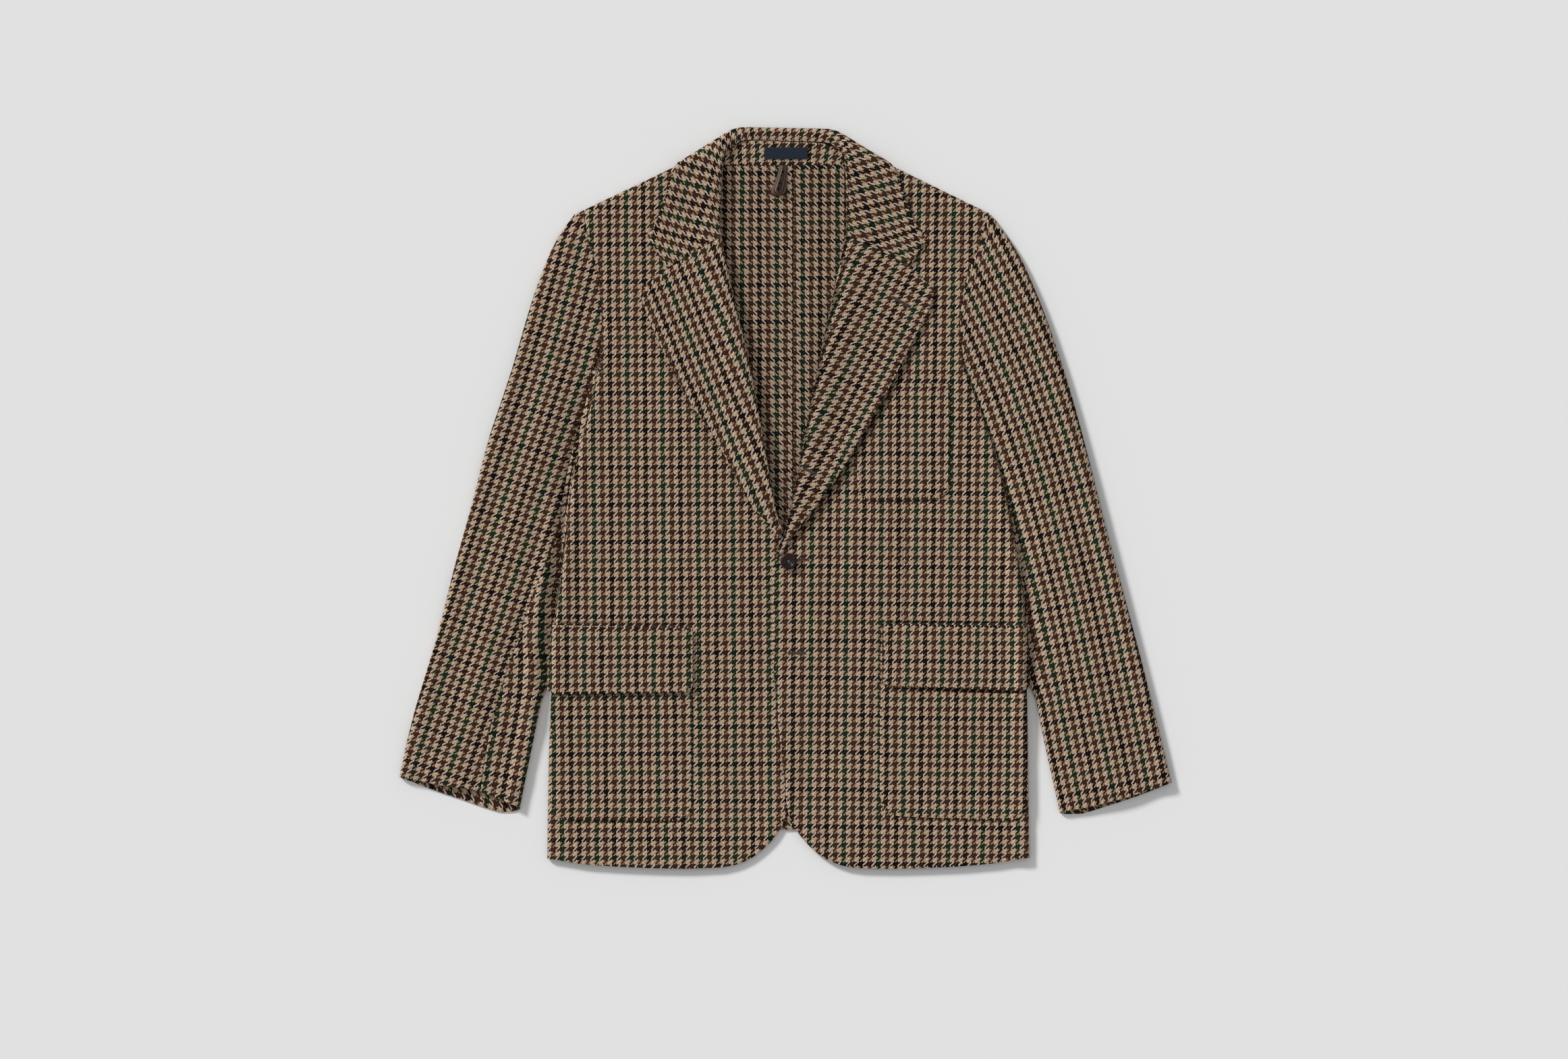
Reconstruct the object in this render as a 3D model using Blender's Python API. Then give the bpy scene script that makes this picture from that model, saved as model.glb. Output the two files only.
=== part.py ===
"""A soft tweed jacket laid flat on its back, as solid cloth walls.

Lengths in the tables are millimetres. x runs to the right, y towards the collar and
z up, with the surface that the jacket lies on at z = 0 and x = y = 0 below the middle
of the whole outline. Left and right are as seen from above.

Every piece of cloth is a wall round a mid surface. The back lies on the surface, the
fronts lie on the back and turn under at the sides and the shoulders, the sleeves are
flattened tubes, and lapels, collar, pockets and flaps lie on the fronts.
"""
import math
from collections import namedtuple

import bmesh
import bpy
from mathutils import Vector

MM = 0.001

# Cloth thicknesses and clearances.
CLOTH = 1.8
DOUBLED = 2.4
PATCH = 1.6
FLAP = 2.0
SEAM = 0.3
HOLLOW = 3.0

# Heights of mid surfaces above the floor.
BACK_MID = CLOTH / 2
FRONT_MID = CLOTH + HOLLOW + CLOTH / 2
LEFT_EDGE_MID = 3.7
RIGHT_EDGE_MID = 5.8
FOLD_RADIUS = (FRONT_MID - BACK_MID) / 2
FOLD_REACH = FOLD_RADIUS + CLOTH / 2
SIDE_TURN = 22.0
SHOULDER_TURN = 8.0
FOLD_STEPS = 5

# Main heights of the pattern, from the hem up.
ARMPIT = 138.0
NECK_SEAM = 366.6
BACK_SEAM_X = 8.9

# The collar lies under the back neck and lifts what lies on it: how far, the height
# where the rise starts and its length, and the same for its outer ends.
COLLAR_LIFT = 2.9
LIFT_START, LIFT_LENGTH = 328.0, 26.0
LIFT_SIDE, LIFT_SIDE_LENGTH = 152.0, 28.0

# The fronts dip to their edge mid over this stretch from the middle.
FRONT_DIP_START, FRONT_DIP_LENGTH = 34.0, 60.0

Edge = namedtuple("Edge", "height left right")
BODY_EDGE = (
    Edge(-394.0, 263.0, 269.7),
    Edge(-300.0, 261.8, 268.3),
    Edge(-205.0, 258.6, 266.9),
    Edge(-150.0, 255.6, 264.6),
    Edge(-110.0, 250.8, 262.6),
    Edge(-75.0, 244.8, 258.7),
    Edge(-40.0, 242.0, 251.4),
    Edge(0.0, 238.6, 243.8),
    Edge(40.0, 231.2, 234.7),
    Edge(80.0, 220.8, 221.2),
    Edge(120.0, 210.6, 207.4),
    Edge(155.0, 205.2, 195.3),
    Edge(190.0, 202.0, 192.4),
    Edge(225.0, 203.2, 195.2),
    Edge(250.0, 207.3, 201.6),
    Edge(270.0, 212.4, 210.3),
    Edge(290.0, 219.4, 217.2),
    Edge(314.0, 230.2, 224.6),
)

Spot = namedtuple("Spot", "x y")
SHOULDER_POINT = {"left": Spot(-230.2, 314.0), "right": Spot(224.6, 311.6)}
SHOULDER_SLOPE = {"left": -0.477, "right": 0.507}
FRONT_NECK = {"left": Spot(-90.0, 380.9), "right": Spot(88.0, 380.9)}

# Rows of the fronts, as heights at the front edge and at the side, with the number of
# rows up to each. The side knots also shape the backs, the sleeves and the pockets.
RowStop = namedtuple("RowStop", "inner outer rows")
ROW_STOPS = (
    RowStop(-345.0, -398.0, 0),
    RowStop(-84.5, -112.0, 7),
    RowStop(-74.0, -100.0, 1),
    RowStop(150.0, ARMPIT, 6),
    RowStop(287.2, 248.0, 4),
    RowStop(378.0, 311.0, 4),
)

# Front edges: plain edge below the break of the lapel, then the roll line, and the
# neck seam under the collar at the top.
FrontEdge = namedtuple("FrontEdge", "height x")
FRONT_EDGE = {
    "left": (
        FrontEdge(-345.0, 2.2), FrontEdge(-300.0, 10.5), FrontEdge(-200.0, 17.0),
        FrontEdge(-80.0, 21.0), FrontEdge(-62.0, 12.5), FrontEdge(-35.0, -3.0)),
    "right": (
        FrontEdge(-345.0, 2.2), FrontEdge(-300.0, -2.2), FrontEdge(-214.0, -11.2),
        FrontEdge(-140.0, -14.9), FrontEdge(-84.0, -14.9), FrontEdge(-77.0, -14.3),
        FrontEdge(-60.0, -10.6)),
}
ROLL_LINE = {
    "left": (
        FrontEdge(-35.0, -3.0), FrontEdge(-20.5, -9.2), FrontEdge(65.0, -25.3),
        FrontEdge(145.0, -39.5), FrontEdge(242.5, -62.6), FrontEdge(287.2, -72.0)),
    "right": (
        FrontEdge(-60.0, -10.6), FrontEdge(-37.6, -1.0),
        FrontEdge(-20.5, 6.0), FrontEdge(65.0, 23.1), FrontEdge(174.0, 43.2),
        FrontEdge(242.5, 57.4), FrontEdge(289.4, 67.4)),
}
NECK_EDGE = {
    "left": (FrontEdge(287.2, -81.0), FrontEdge(300.0, -84.0), FrontEdge(345.0, -87.0),
             FrontEdge(380.9, -90.0)),
    "right": (FrontEdge(289.4, 76.6), FrontEdge(300.0, 80.6), FrontEdge(345.0, 84.6),
              FrontEdge(380.9, 88.0)),
}
LAPEL_EDGE = {
    "left": (
        FrontEdge(-43.5, -9.6), FrontEdge(-24.2, -23.8), FrontEdge(-1.9, -42.5),
        FrontEdge(32.4, -59.6), FrontEdge(66.7, -78.2), FrontEdge(95.0, -98.3),
        FrontEdge(118.8, -113.5), FrontEdge(153.8, -131.1), FrontEdge(193.3, -149.0),
        FrontEdge(228.3, -161.7)),
    "right": (
        FrontEdge(-61.0, -2.2), FrontEdge(-41.3, 11.2),
        FrontEdge(-20.5, 26.1), FrontEdge(12.3, 49.2), FrontEdge(28.7, 61.1),
        FrontEdge(60.7, 79.5), FrontEdge(98.7, 102.0), FrontEdge(147.1, 127.4),
        FrontEdge(184.4, 146.0), FrontEdge(212.7, 160.4), FrontEdge(229.1, 164.6)),
}
NOTCH = {"left": Spot(-125.2, 253.7), "right": Spot(134.1, 255.2)}
COLLAR_NOTCH = {"left": Spot(-129.6, 252.4), "right": Spot(134.9, 256.6)}
COLLAR_POINT = {"left": Spot(-153.5, 286.4), "right": Spot(155.7, 283.5)}

# The hem of each front, from its front edge round the cut-away quarter to the side.
FRONT_HEM = {
    "left": (
        Spot(2.2, -345.0), Spot(-2.2, -358.7), Spot(-14.9, -378.8), Spot(-27.6, -390.4),
        Spot(-41.7, -400.4), Spot(-56.6, -405.7), Spot(-77.0, -408.2), Spot(-111.8, -409.2),
        Spot(-191.5, -406.6), Spot(-241.4, -402.4), Spot(-259.7, -398.0)),
    "right": (
        Spot(2.2, -345.0), Spot(6.0, -356.5), Spot(19.7, -377.3), Spot(30.2, -388.2),
        Spot(44.7, -398.6), Spot(61.8, -405.7), Spot(80.0, -408.6), Spot(106.5, -409.4),
        Spot(176.6, -407.5), Spot(236.2, -402.6), Spot(266.4, -397.0)),
}

# The hem's own shape fades out of the rows above it over this length. Columns of the
# fronts: closer over the share nearest the front edge.
HEM_FADE = 200.0
FRONT_COLUMN_SHARES, FRONT_COLUMNS = (0.0, 0.36, 1.0), (6, 5)

# The back is cut shorter at the middle of its hem than at the sides.
BACK_HEM_MIDDLE = -366.0
BACK_HEM_SIDE = -397.0
BACK_HEM_HALF = 240.0
BACK_COLUMNS = 5

# Soft folds of the fronts and sleeves: a trough or ridge along a straight line.
Crease = namedtuple("Crease", "x0 y0 x1 y1 width depth")
CREASE_END = 0.35
FRONT_CREASES = (
    Crease(60.0, -110.0, 34.0, -330.0, 26.0, -0.9),
    Crease(-70.0, -90.0, -78.0, -300.0, 24.0, -0.8),
    Crease(-150.0, 220.0, -185.0, 60.0, 22.0, -0.7),
    Crease(186.0, 210.0, 200.0, 60.0, 20.0, -0.6),
)
SLEEVE_CREASES = (
    Crease(-262.0, 190.0, -228.0, 120.0, 20.0, -1.0),
    Crease(-318.0, 60.0, -250.0, 10.0, 22.0, -0.9),
    Crease(-350.0, -130.0, -292.0, -190.0, 26.0, -0.8),
    Crease(290.0, 150.0, 228.0, 100.0, 22.0, -0.9),
    Crease(330.0, 70.0, 262.0, 20.0, 22.0, -1.0),
    Crease(352.0, -70.0, 300.0, -120.0, 26.0, -0.8),
)

# Lapels: roll radius of the mid surface and how proud the outer edge stands.
ROLL_RADIUS = {"left": 2.8, "right": 3.0}
LAPEL_PROUD = {"left": 0.9, "right": 3.0}
ROLL_ROOM = 2.6
ROLL_ROOM_LENGTH = 8.0

LAPEL_ROWS, LAPEL_COLUMNS, ROLL_STEPS = 16, 6, 5
# Shares of the lapel's length: where the roll is fully open, where the edge stands
# proud, and where the top edge starts to bend to the gorge and the notch.
LAPEL_OPEN, LAPEL_RISE, LAPEL_BEND = 0.14, 0.12, 0.6
LAPEL_TOP_PROUD = 0.35

# Collar: centre of the roll, direction of the fall in degrees from +x, length of the
# fall along the cloth, where the roll starts, the strip before it, and mid heights at
# the roll and at the fall's outer part.
Station = namedtuple("Station", "x y heading length roll_start strip crest outer radius")
COLLAR_STATIONS = (
    Station(-76.2, 287.3, 181.0, 77.3, -90.0, 0.6, 9.8, 8.6, 2.8),
    Station(-76.6, 310.0, 180.0, 62.7, -90.0, 1.0, 10.4, 9.2, 2.8),
    Station(-75.2, 338.0, 177.0, 54.4, -90.0, 2.0, 12.4, 11.8, 2.8),
    Station(-73.8, 362.0, 165.0, 46.0, -70.0, 2.4, 13.4, 12.4, 2.8),
    Station(-70.6, 381.0, 146.0, 37.0, 0.0, 4.0, 13.0, 11.6, 2.8),
    Station(-61.6, 393.6, 126.0, 35.0, 58.0, 6.0, 9.6, 9.6, 2.6),
    Station(-46.0, 400.8, 106.0, 38.0, 80.0, 6.0, 7.0, 7.0, 2.4),
    Station(-20.0, 402.0, 94.0, 47.0, 84.0, 7.2, 6.4, 6.4, 2.4),
    Station(0.0, 401.6, 90.0, 50.0, 84.0, 8.0, 6.4, 6.4, 2.4),
    Station(20.0, 401.2, 86.0, 47.0, 84.0, 8.0, 6.4, 6.4, 2.4),
    Station(45.5, 399.4, 74.0, 38.0, 80.0, 7.0, 7.0, 7.0, 2.4),
    Station(60.4, 392.2, 54.0, 35.0, 58.0, 6.0, 9.6, 9.6, 2.6),
    Station(69.0, 379.6, 34.0, 37.0, 0.0, 4.0, 13.0, 11.6, 2.8),
    Station(71.6, 362.0, 15.0, 45.0, -70.0, 2.4, 13.4, 12.4, 2.8),
    Station(72.0, 338.0, 3.0, 56.8, -90.0, 2.0, 12.4, 11.8, 2.8),
    Station(71.8, 312.0, 0.0, 66.0, -90.0, 1.0, 10.4, 9.2, 2.8),
    Station(71.6, 289.4, -4.0, 84.3, -90.0, 0.6, 9.8, 8.6, 2.8),
)
COLLAR_BACK_MID = DOUBLED / 2
COLLAR_PROUD = 0.3
# Beyond this distance from the middle the fall lies on the fronts.
COLLAR_ON_FRONT = 84.0
# Shares of the fall's length: most of it that stays flat before the turn, and how much
# of the rest the turn's own columns take.
COLLAR_FLAT_SHARE = 0.62
COLLAR_TURN_SHARE = 0.75
COLLAR_INSIDE_COLUMNS = 6
COLLAR_FALL_COLUMNS = (2, 4, 1)
# Rows of the collar between its stations, closer where it goes over the shoulders.
COLLAR_ROWS = (2, 2, 7, 5, 3, 2, 2, 1, 1, 2, 2, 3, 5, 7, 2, 2)
# Outline of the collar where it turns behind the shoulders, from the top corner out.
COLLAR_CORNER = {"left": Spot(-54.4, 409.4), "right": Spot(53.6, 407.4)}
COLLAR_TURN = {"left": Spot(-116.2, 373.6), "right": Spot(112.8, 373.8)}

STAND_HALF_WIDTH = 80.0
STAND_TOP = 393.1
STAND_SLANT = -0.037
STAND_MIDDLE = -0.6
STAND_MID = {"seam": 3.8, "top": 5.3}
# Where its top edge drops towards the sides, and where its rise fades out.
STAND_DROP, STAND_DROP_START, STAND_DROP_LENGTH = 17.0, 40.0, 40.0
STAND_RISE_END, STAND_RISE_FADE = 34.0, 22.0
STAND_ROWS, STAND_COLUMNS = 3, 16

# Sleeves: the outer outline from the shoulder to the cuff, and the inner one below the
# place where it leaves the body's side.
Outline = namedtuple("Outline", "height x")
SLEEVE_OUTER = {
    "left": (
        Outline(314.4, -230.8), Outline(306.6, -237.0), Outline(297.2, -244.4),
        Outline(282.7, -254.0), Outline(259.6, -264.5), Outline(221.6, -278.6),
        Outline(133.7, -304.7), Outline(65.2, -327.8), Outline(-13.0, -347.9),
        Outline(-71.1, -364.3), Outline(-143.4, -382.2), Outline(-255.2, -415.0),
        Outline(-307.3, -426.1)),
    "right": (
        Outline(312.0, 225.4), Outline(304.3, 232.4), Outline(293.9, 240.6),
        Outline(278.3, 251.8), Outline(256.7, 263.7), Outline(229.8, 275.7),
        Outline(203.8, 286.1), Outline(126.3, 312.4), Outline(-54.0, 359.8),
        Outline(-203.0, 399.3), Outline(-293.9, 421.7), Outline(-313.5, 426.1)),
}
SLEEVE_INNER = {
    "left": (Outline(-203.0, -264.1), Outline(-255.2, -274.9), Outline(-296.9, -283.8),
             Outline(-340.0, -292.8)),
    "right": (Outline(-203.0, 272.6), Outline(-255.2, 282.4), Outline(-295.4, 291.3),
              Outline(-344.6, 302.6)),
}
# Room between a sleeve and the body's side, wider where the pocket flap stands out.
SideRoom = namedtuple("SideRoom", "height room")
SLEEVE_ROOM = (SideRoom(-203.0, 5.6), SideRoom(-128.0, 5.4), SideRoom(-105.0, 1.2),
               SideRoom(ARMPIT, 1.0))
CUFF_TOP = {
    "left": (Spot(-292.8, -341.0), Spot(-304.7, -337.4), Spot(-322.0, -329.0),
             Spot(-341.2, -322.6), Spot(-380.7, -317.0), Spot(-426.1, -307.3)),
    "right": (Spot(302.6, -345.6), Spot(318.9, -344.2), Spot(353.1, -336.5),
              Spot(382.9, -328.6), Spot(426.1, -313.5)),
}
CUFF_BOTTOM = {
    "left": (Spot(-292.8, -343.0), Spot(-301.0, -349.8), Spot(-325.6, -343.8),
             Spot(-355.4, -333.4), Spot(-393.4, -320.7), Spot(-426.1, -308.0)),
    "right": (Spot(302.6, -347.6), Spot(310.4, -350.5), Spot(325.6, -349.0),
              Spot(353.1, -340.8), Spot(382.9, -331.4), Spot(426.1, -314.5)),
}
# Rows of a sleeve: heights of their ends on the inner and on the outer outline.
RowEnd = namedtuple("RowEnd", "inner left right")
SLEEVE_ROW_ENDS = (
    RowEnd(306.0, 307.5, 305.5), RowEnd(295.0, 299.0, 297.0), RowEnd(279.0, 287.0, 285.0),
    RowEnd(248.0, 258.0, 256.0), RowEnd(ARMPIT, 176.0, 172.0), RowEnd(-340.0, -307.3, -313.5))
SLEEVE_TOP = 306.0
SLEEVE_ROWS_BELOW = 13
CUFF_FADE = 140.0
# Where the sleeve seams lie across the flattened sleeve below the armpit, 0 at the
# inner fold and 1 at the outer one. The left front seam has rolled on to the top.
SeamPlace = namedtuple("SeamPlace", "height front hind")
SLEEVE_SEAMS = {
    "left": (SeamPlace(ARMPIT, 0.04, 0.86), SeamPlace(-40.0, 0.06, 0.80),
             SeamPlace(-91.0, 0.16, 0.80), SeamPlace(-163.0, 0.26, 0.80),
             SeamPlace(-212.0, 0.34, 0.80), SeamPlace(-261.0, 0.36, 0.80),
             SeamPlace(-341.0, 0.33, 0.80)),
    "right": (SeamPlace(ARMPIT, 0.05, 0.86), SeamPlace(0.0, 0.16, 0.80),
              SeamPlace(-345.0, 0.18, 0.80)),
}
SLEEVE_SEAM_LAYER = {"left": "top", "right": "bottom"}

# Patch pockets and flaps, measured outward from the middle. Where outer is None the
# patch goes past the side fold by the cloth length in wrap.
Patch = namedtuple("Patch", "inner outer wrap top_inner top_outer low_inner low_outer radius")
CHEST_POCKET = Patch(79.0, 181.0, 0.0, 127.0, 125.6, -3.2, -1.8, 16.0)
HIP_POCKET = {
    "left": Patch(102.8, None, 1.2, -146.0, -149.0, -356.6, -354.6, 18.0),
    "right": Patch(104.4, None, 1.2, -145.0, -149.0, -350.6, -357.2, 20.0),
}
HIP_FLAP = {
    "left": Patch(102.1, None, 2.4, -143.6, -140.6, -214.6, -216.8, 5.0),
    "right": Patch(106.5, None, 2.4, -138.4, -141.4, -206.9, -213.0, 5.0),
}
FLAP_STAND_OFF = 0.8

# Trims: the bare label on the stand, the hanger loop and the front button.
LABEL = Patch(-22.6, 24.8, 0.0, 386.4, 386.4, 373.5, 373.5, 0.0)
LABEL_WALL = 0.8
LABEL_COLUMNS = 4
RIBBON_WALL = 1.0
RIBBON_WIDTH = 6.8
LOOP_TOP = Spot(-0.8, 364.6)
LOOP_TOP_HALF = 1.6
LOOP_FOOT = Spot(-6.2, 342.6)
LOOP_FOOT_RADIUS = 6.4
# Slope of the ribbon in degrees at its seam, halfway down a strand and at its foot.
LOOP_SLOPES = (78.0, 48.0, 66.0)
LOOP_STRAND_STEPS, LOOP_FOOT_STEPS = 6, 8
BUTTON_PLACE = Spot(3.7, -70.0)
BUTTON_DIAMETER = 18.2
BUTTON_STEPS = 28
SHANK_RADIUS = 2.4
SHANK_HEIGHT = 2.6
# Turned profile of the button above its shank, as insets from the rim.
ButtonRing = namedtuple("ButtonRing", "inset height")
BUTTON_RINGS = (
    ButtonRing(2.6, 0.0), ButtonRing(0.6, 0.9), ButtonRing(0.0, 1.9), ButtonRing(0.6, 2.9),
    ButtonRing(2.0, 3.4), ButtonRing(3.4, 3.0), ButtonRing(4.6, 2.2),
    ButtonRing(BUTTON_DIAMETER / 2, 2.0))

SIDE_SIGN = {"left": -1.0, "right": 1.0}


# ---------------------------------------------------------------- curves and blends

def ramp(value):
    """0 below 0, 1 above 1, and smooth between."""
    value = min(1.0, max(0.0, value))
    return value * value * (3.0 - 2.0 * value)


def blend(a, b, t):
    return a + (b - a) * t


def monotone(places, values, place):
    """Smooth curve through a table, with no overshoot between its rows."""
    if place <= places[0]:
        return values[0]
    if place >= places[-1]:
        return values[-1]
    i = max(k for k in range(len(places) - 1) if places[k] <= place)
    steps = [places[k + 1] - places[k] for k in range(len(places) - 1)]
    rises = [(values[k + 1] - values[k]) / steps[k] for k in range(len(steps))]

    def slope(k):
        if k == 0:
            return rises[0]
        if k == len(places) - 1:
            return rises[-1]
        if rises[k - 1] * rises[k] <= 0.0:
            return 0.0
        return 2.0 * rises[k - 1] * rises[k] / (rises[k - 1] + rises[k])

    h = steps[i]
    t = (place - places[i]) / h
    start = (2 * t ** 3 - 3 * t ** 2 + 1) * values[i] + (t ** 3 - 2 * t ** 2 + t) * h * slope(i)
    end = (3 * t ** 2 - 2 * t ** 3) * values[i + 1] + (t ** 3 - t ** 2) * h * slope(i + 1)
    return start + end


def column(table, name, place, key):
    """One named column of a table, read at a place of its key column."""
    places = [getattr(row, key) for row in table]
    values = [getattr(row, name) for row in table]
    if places[0] > places[-1]:
        places.reverse()
        values.reverse()
    return monotone(places, values, place)


class Path:
    """A smooth plane curve through spots, read by the share of its length."""

    def __init__(self, spots):
        points = [Vector((s.x, s.y)) for s in spots]
        self.marks = [0.0]
        for a, b in zip(points, points[1:]):
            self.marks.append(self.marks[-1] + (b - a).length)
        self.xs = [p.x for p in points]
        self.ys = [p.y for p in points]
        self.length = self.marks[-1]

    def at(self, share):
        mark = share * self.length
        return Vector((monotone(self.marks, self.xs, mark), monotone(self.marks, self.ys, mark)))


def corner_path(spots, share):
    """A broken line through spots, read by the share of its length."""
    points = [Vector((s.x, s.y)) for s in spots]
    lengths = [(b - a).length for a, b in zip(points, points[1:])]
    left = share * sum(lengths)
    for a, b, length in zip(points, points[1:], lengths):
        if left <= length:
            return a.lerp(b, left / length)
        left -= length
    return points[-1].copy()


def spread(breaks, counts):
    """Evenly spaced values between breaks, with a count of steps for each stretch."""
    values = [breaks[0]]
    for a, b, count in zip(breaks, breaks[1:], counts):
        values += [blend(a, b, (k + 1) / count) for k in range(count)]
    return values


# ---------------------------------------------------------------- shape of the layers

def collar_lift(x, y):
    """Rise of everything that lies on the folded-down collar behind the neck."""
    rise = ramp((y - LIFT_START) / LIFT_LENGTH)
    return COLLAR_LIFT * rise * ramp((LIFT_SIDE - abs(x)) / LIFT_SIDE_LENGTH)


def creases(table, x, y):
    """Sum of the soft folds at a place: each fades towards its ends."""
    total = 0.0
    for crease in table:
        start = Vector((crease.x0, crease.y0))
        along = Vector((crease.x1, crease.y1)) - start
        offset = Vector((x, y)) - start
        share = offset.dot(along) / along.length_squared
        across = (offset - along * share).length / crease.width
        ends = ramp(share / CREASE_END) * ramp((1.0 - share) / CREASE_END)
        total += crease.depth * math.exp(-across * across * 2.0) * ends
    return total


def front_height(side, x, y):
    """Mid surface of a front where it lies on the back."""
    edge = LEFT_EDGE_MID if side == "left" else RIGHT_EDGE_MID
    outward = SIDE_SIGN[side] * x
    share = ramp((outward - FRONT_DIP_START) / FRONT_DIP_LENGTH)
    height = blend(edge, FRONT_MID, share)
    return height + creases(FRONT_CREASES, x, y) + collar_lift(x, y)


def stop_heights(name):
    """Heights of all rows of a front at its inner or its outer end."""
    stops = [getattr(row, name) for row in ROW_STOPS]
    return spread(stops, [row.rows for row in ROW_STOPS[1:]])


SIDE_KNOTS = stop_heights("outer")
ARMHOLE_KNOTS = [y for y in SIDE_KNOTS if y >= ARMPIT]


def body_edge(side, y):
    """Distance of the body's side outline from the middle, straight between knots."""
    knots = SIDE_KNOTS
    k = sum(1 for knot in knots[1:-1] if knot <= y)
    low = column(BODY_EDGE, side, knots[k], "height")
    high = column(BODY_EDGE, side, knots[k + 1], "height")
    return blend(low, high, (y - knots[k]) / (knots[k + 1] - knots[k]))


def fold_over(distance, reach_point, outward, top, bottom):
    """Wrap a cloth distance past a fold line.

    reach_point is the fold's centre line in plan, outward its unit direction, and top and
    bottom the mid heights of the two layers that the fold joins.
    """
    radius = (top - bottom) / 2
    turn = distance / radius
    if turn < math.pi:
        plan = reach_point + outward * (radius * math.sin(turn))
        return Vector((plan.x, plan.y, bottom + radius + radius * math.cos(turn)))
    plan = reach_point - outward * (distance - math.pi * radius)
    return Vector((plan.x, plan.y, bottom))


def front_point(side, x, y):
    """Mid surface of a front at an unrolled place, round the side fold as well."""
    sign = SIDE_SIGN[side]
    fold = body_edge(side, y) - FOLD_REACH
    past = sign * x - fold
    if past <= 0.0 or y > ARMPIT + 1.0:
        return Vector((x, y, front_height(side, x, y)))
    centre = Vector((sign * fold, y))
    return fold_over(past, centre, Vector((sign, 0.0)), FRONT_MID, BACK_MID)


def shoulder_frame(side):
    """A point on the shoulder outline and its unit directions along and across."""
    spot = SHOULDER_POINT[side]
    along = Vector((-SIDE_SIGN[side], abs(SHOULDER_SLOPE[side]))).normalized()
    across = Vector((abs(along.y), abs(along.x)))
    across.x *= SIDE_SIGN[side]
    return Vector((spot.x, spot.y)), along, across


def lifted(surface, x, y, lift):
    """A point moved out from a surface along its normal."""
    step = 0.5
    here = surface(x, y)
    run_x = surface(x + step, y) - surface(x - step, y)
    run_y = surface(x, y + step) - surface(x, y - step)
    return here + run_x.cross(run_y).normalized() * lift


# ---------------------------------------------------------------- making solids

def material(name, colour, roughness, metallic=0.0):
    mat = bpy.data.materials.new(name)
    mat.use_nodes = True
    shader = mat.node_tree.nodes["Principled BSDF"]
    shader.inputs["Base Color"].default_value = (*colour, 1.0)
    shader.inputs["Roughness"].default_value = roughness
    shader.inputs["Metallic"].default_value = metallic
    return mat


def grid_normals(grid):
    """Unit normal at each place of a grid of points, from its neighbours."""
    rows, columns = len(grid), len(grid[0])

    def read(r, c):
        if 0 <= r < rows and 0 <= c < columns:
            return grid[r][c]
        return None

    normals = []
    for r in range(rows):
        line = []
        for c in range(columns):
            here = grid[r][c]
            if here is None:
                line.append(None)
                continue
            across = (read(r, c + 1) or here) - (read(r, c - 1) or here)
            along = (read(r + 1, c) or here) - (read(r - 1, c) or here)
            line.append(across.cross(along).normalized())
        normals.append(line)
    return normals


def wall(name, grid, thickness, mat, angle=40.0):
    """A closed wall of even thickness round a grid of mid-surface points.

    Places that hold None are left out, so a grid may have steps in its outline.
    """
    normals = grid_normals(grid)
    mesh = bmesh.new()
    sheets = []
    for sign in (1.0, -1.0):
        sheet = {}
        for r, line in enumerate(grid):
            for c, point in enumerate(line):
                if point is not None:
                    place = point + normals[r][c] * (sign * thickness / 2)
                    sheet[r, c] = mesh.verts.new(place * MM)
        sheets.append(sheet)
    upper, lower = sheets
    rims = {}
    for r in range(len(grid) - 1):
        for c in range(len(grid[0]) - 1):
            corners = ((r, c), (r, c + 1), (r + 1, c + 1), (r + 1, c))
            if any(grid[a][b] is None for a, b in corners):
                continue
            mesh.faces.new([upper[k] for k in corners])
            mesh.faces.new([lower[k] for k in reversed(corners)])
            for k, start in enumerate(corners):
                end = corners[(k + 1) % 4]
                if (end, start) in rims:
                    del rims[end, start]
                else:
                    rims[start, end] = True
    for start, end in rims:
        mesh.faces.new([upper[end], upper[start], lower[start], lower[end]])
    loose = [v for v in mesh.verts if not v.link_faces]
    bmesh.ops.delete(mesh, geom=loose, context="VERTS")
    bmesh.ops.triangulate(mesh, faces=mesh.faces[:], quad_method="BEAUTY")
    bmesh.ops.recalc_face_normals(mesh, faces=mesh.faces[:])
    return finish(name, mesh, mat, angle)


def finish(name, mesh, mat, angle=40.0):
    data = bpy.data.meshes.new(name)
    mesh.to_mesh(data)
    mesh.free()
    data.materials.append(mat)
    data.shade_smooth()
    data.set_sharp_from_angle(angle=math.radians(angle))
    piece = bpy.data.objects.new(name, data)
    bpy.context.scene.collection.objects.link(piece)
    return piece


# ---------------------------------------------------------------- back panels

def back_surface(x, y):
    return Vector((x, y, BACK_MID + collar_lift(x, y)))


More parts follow.
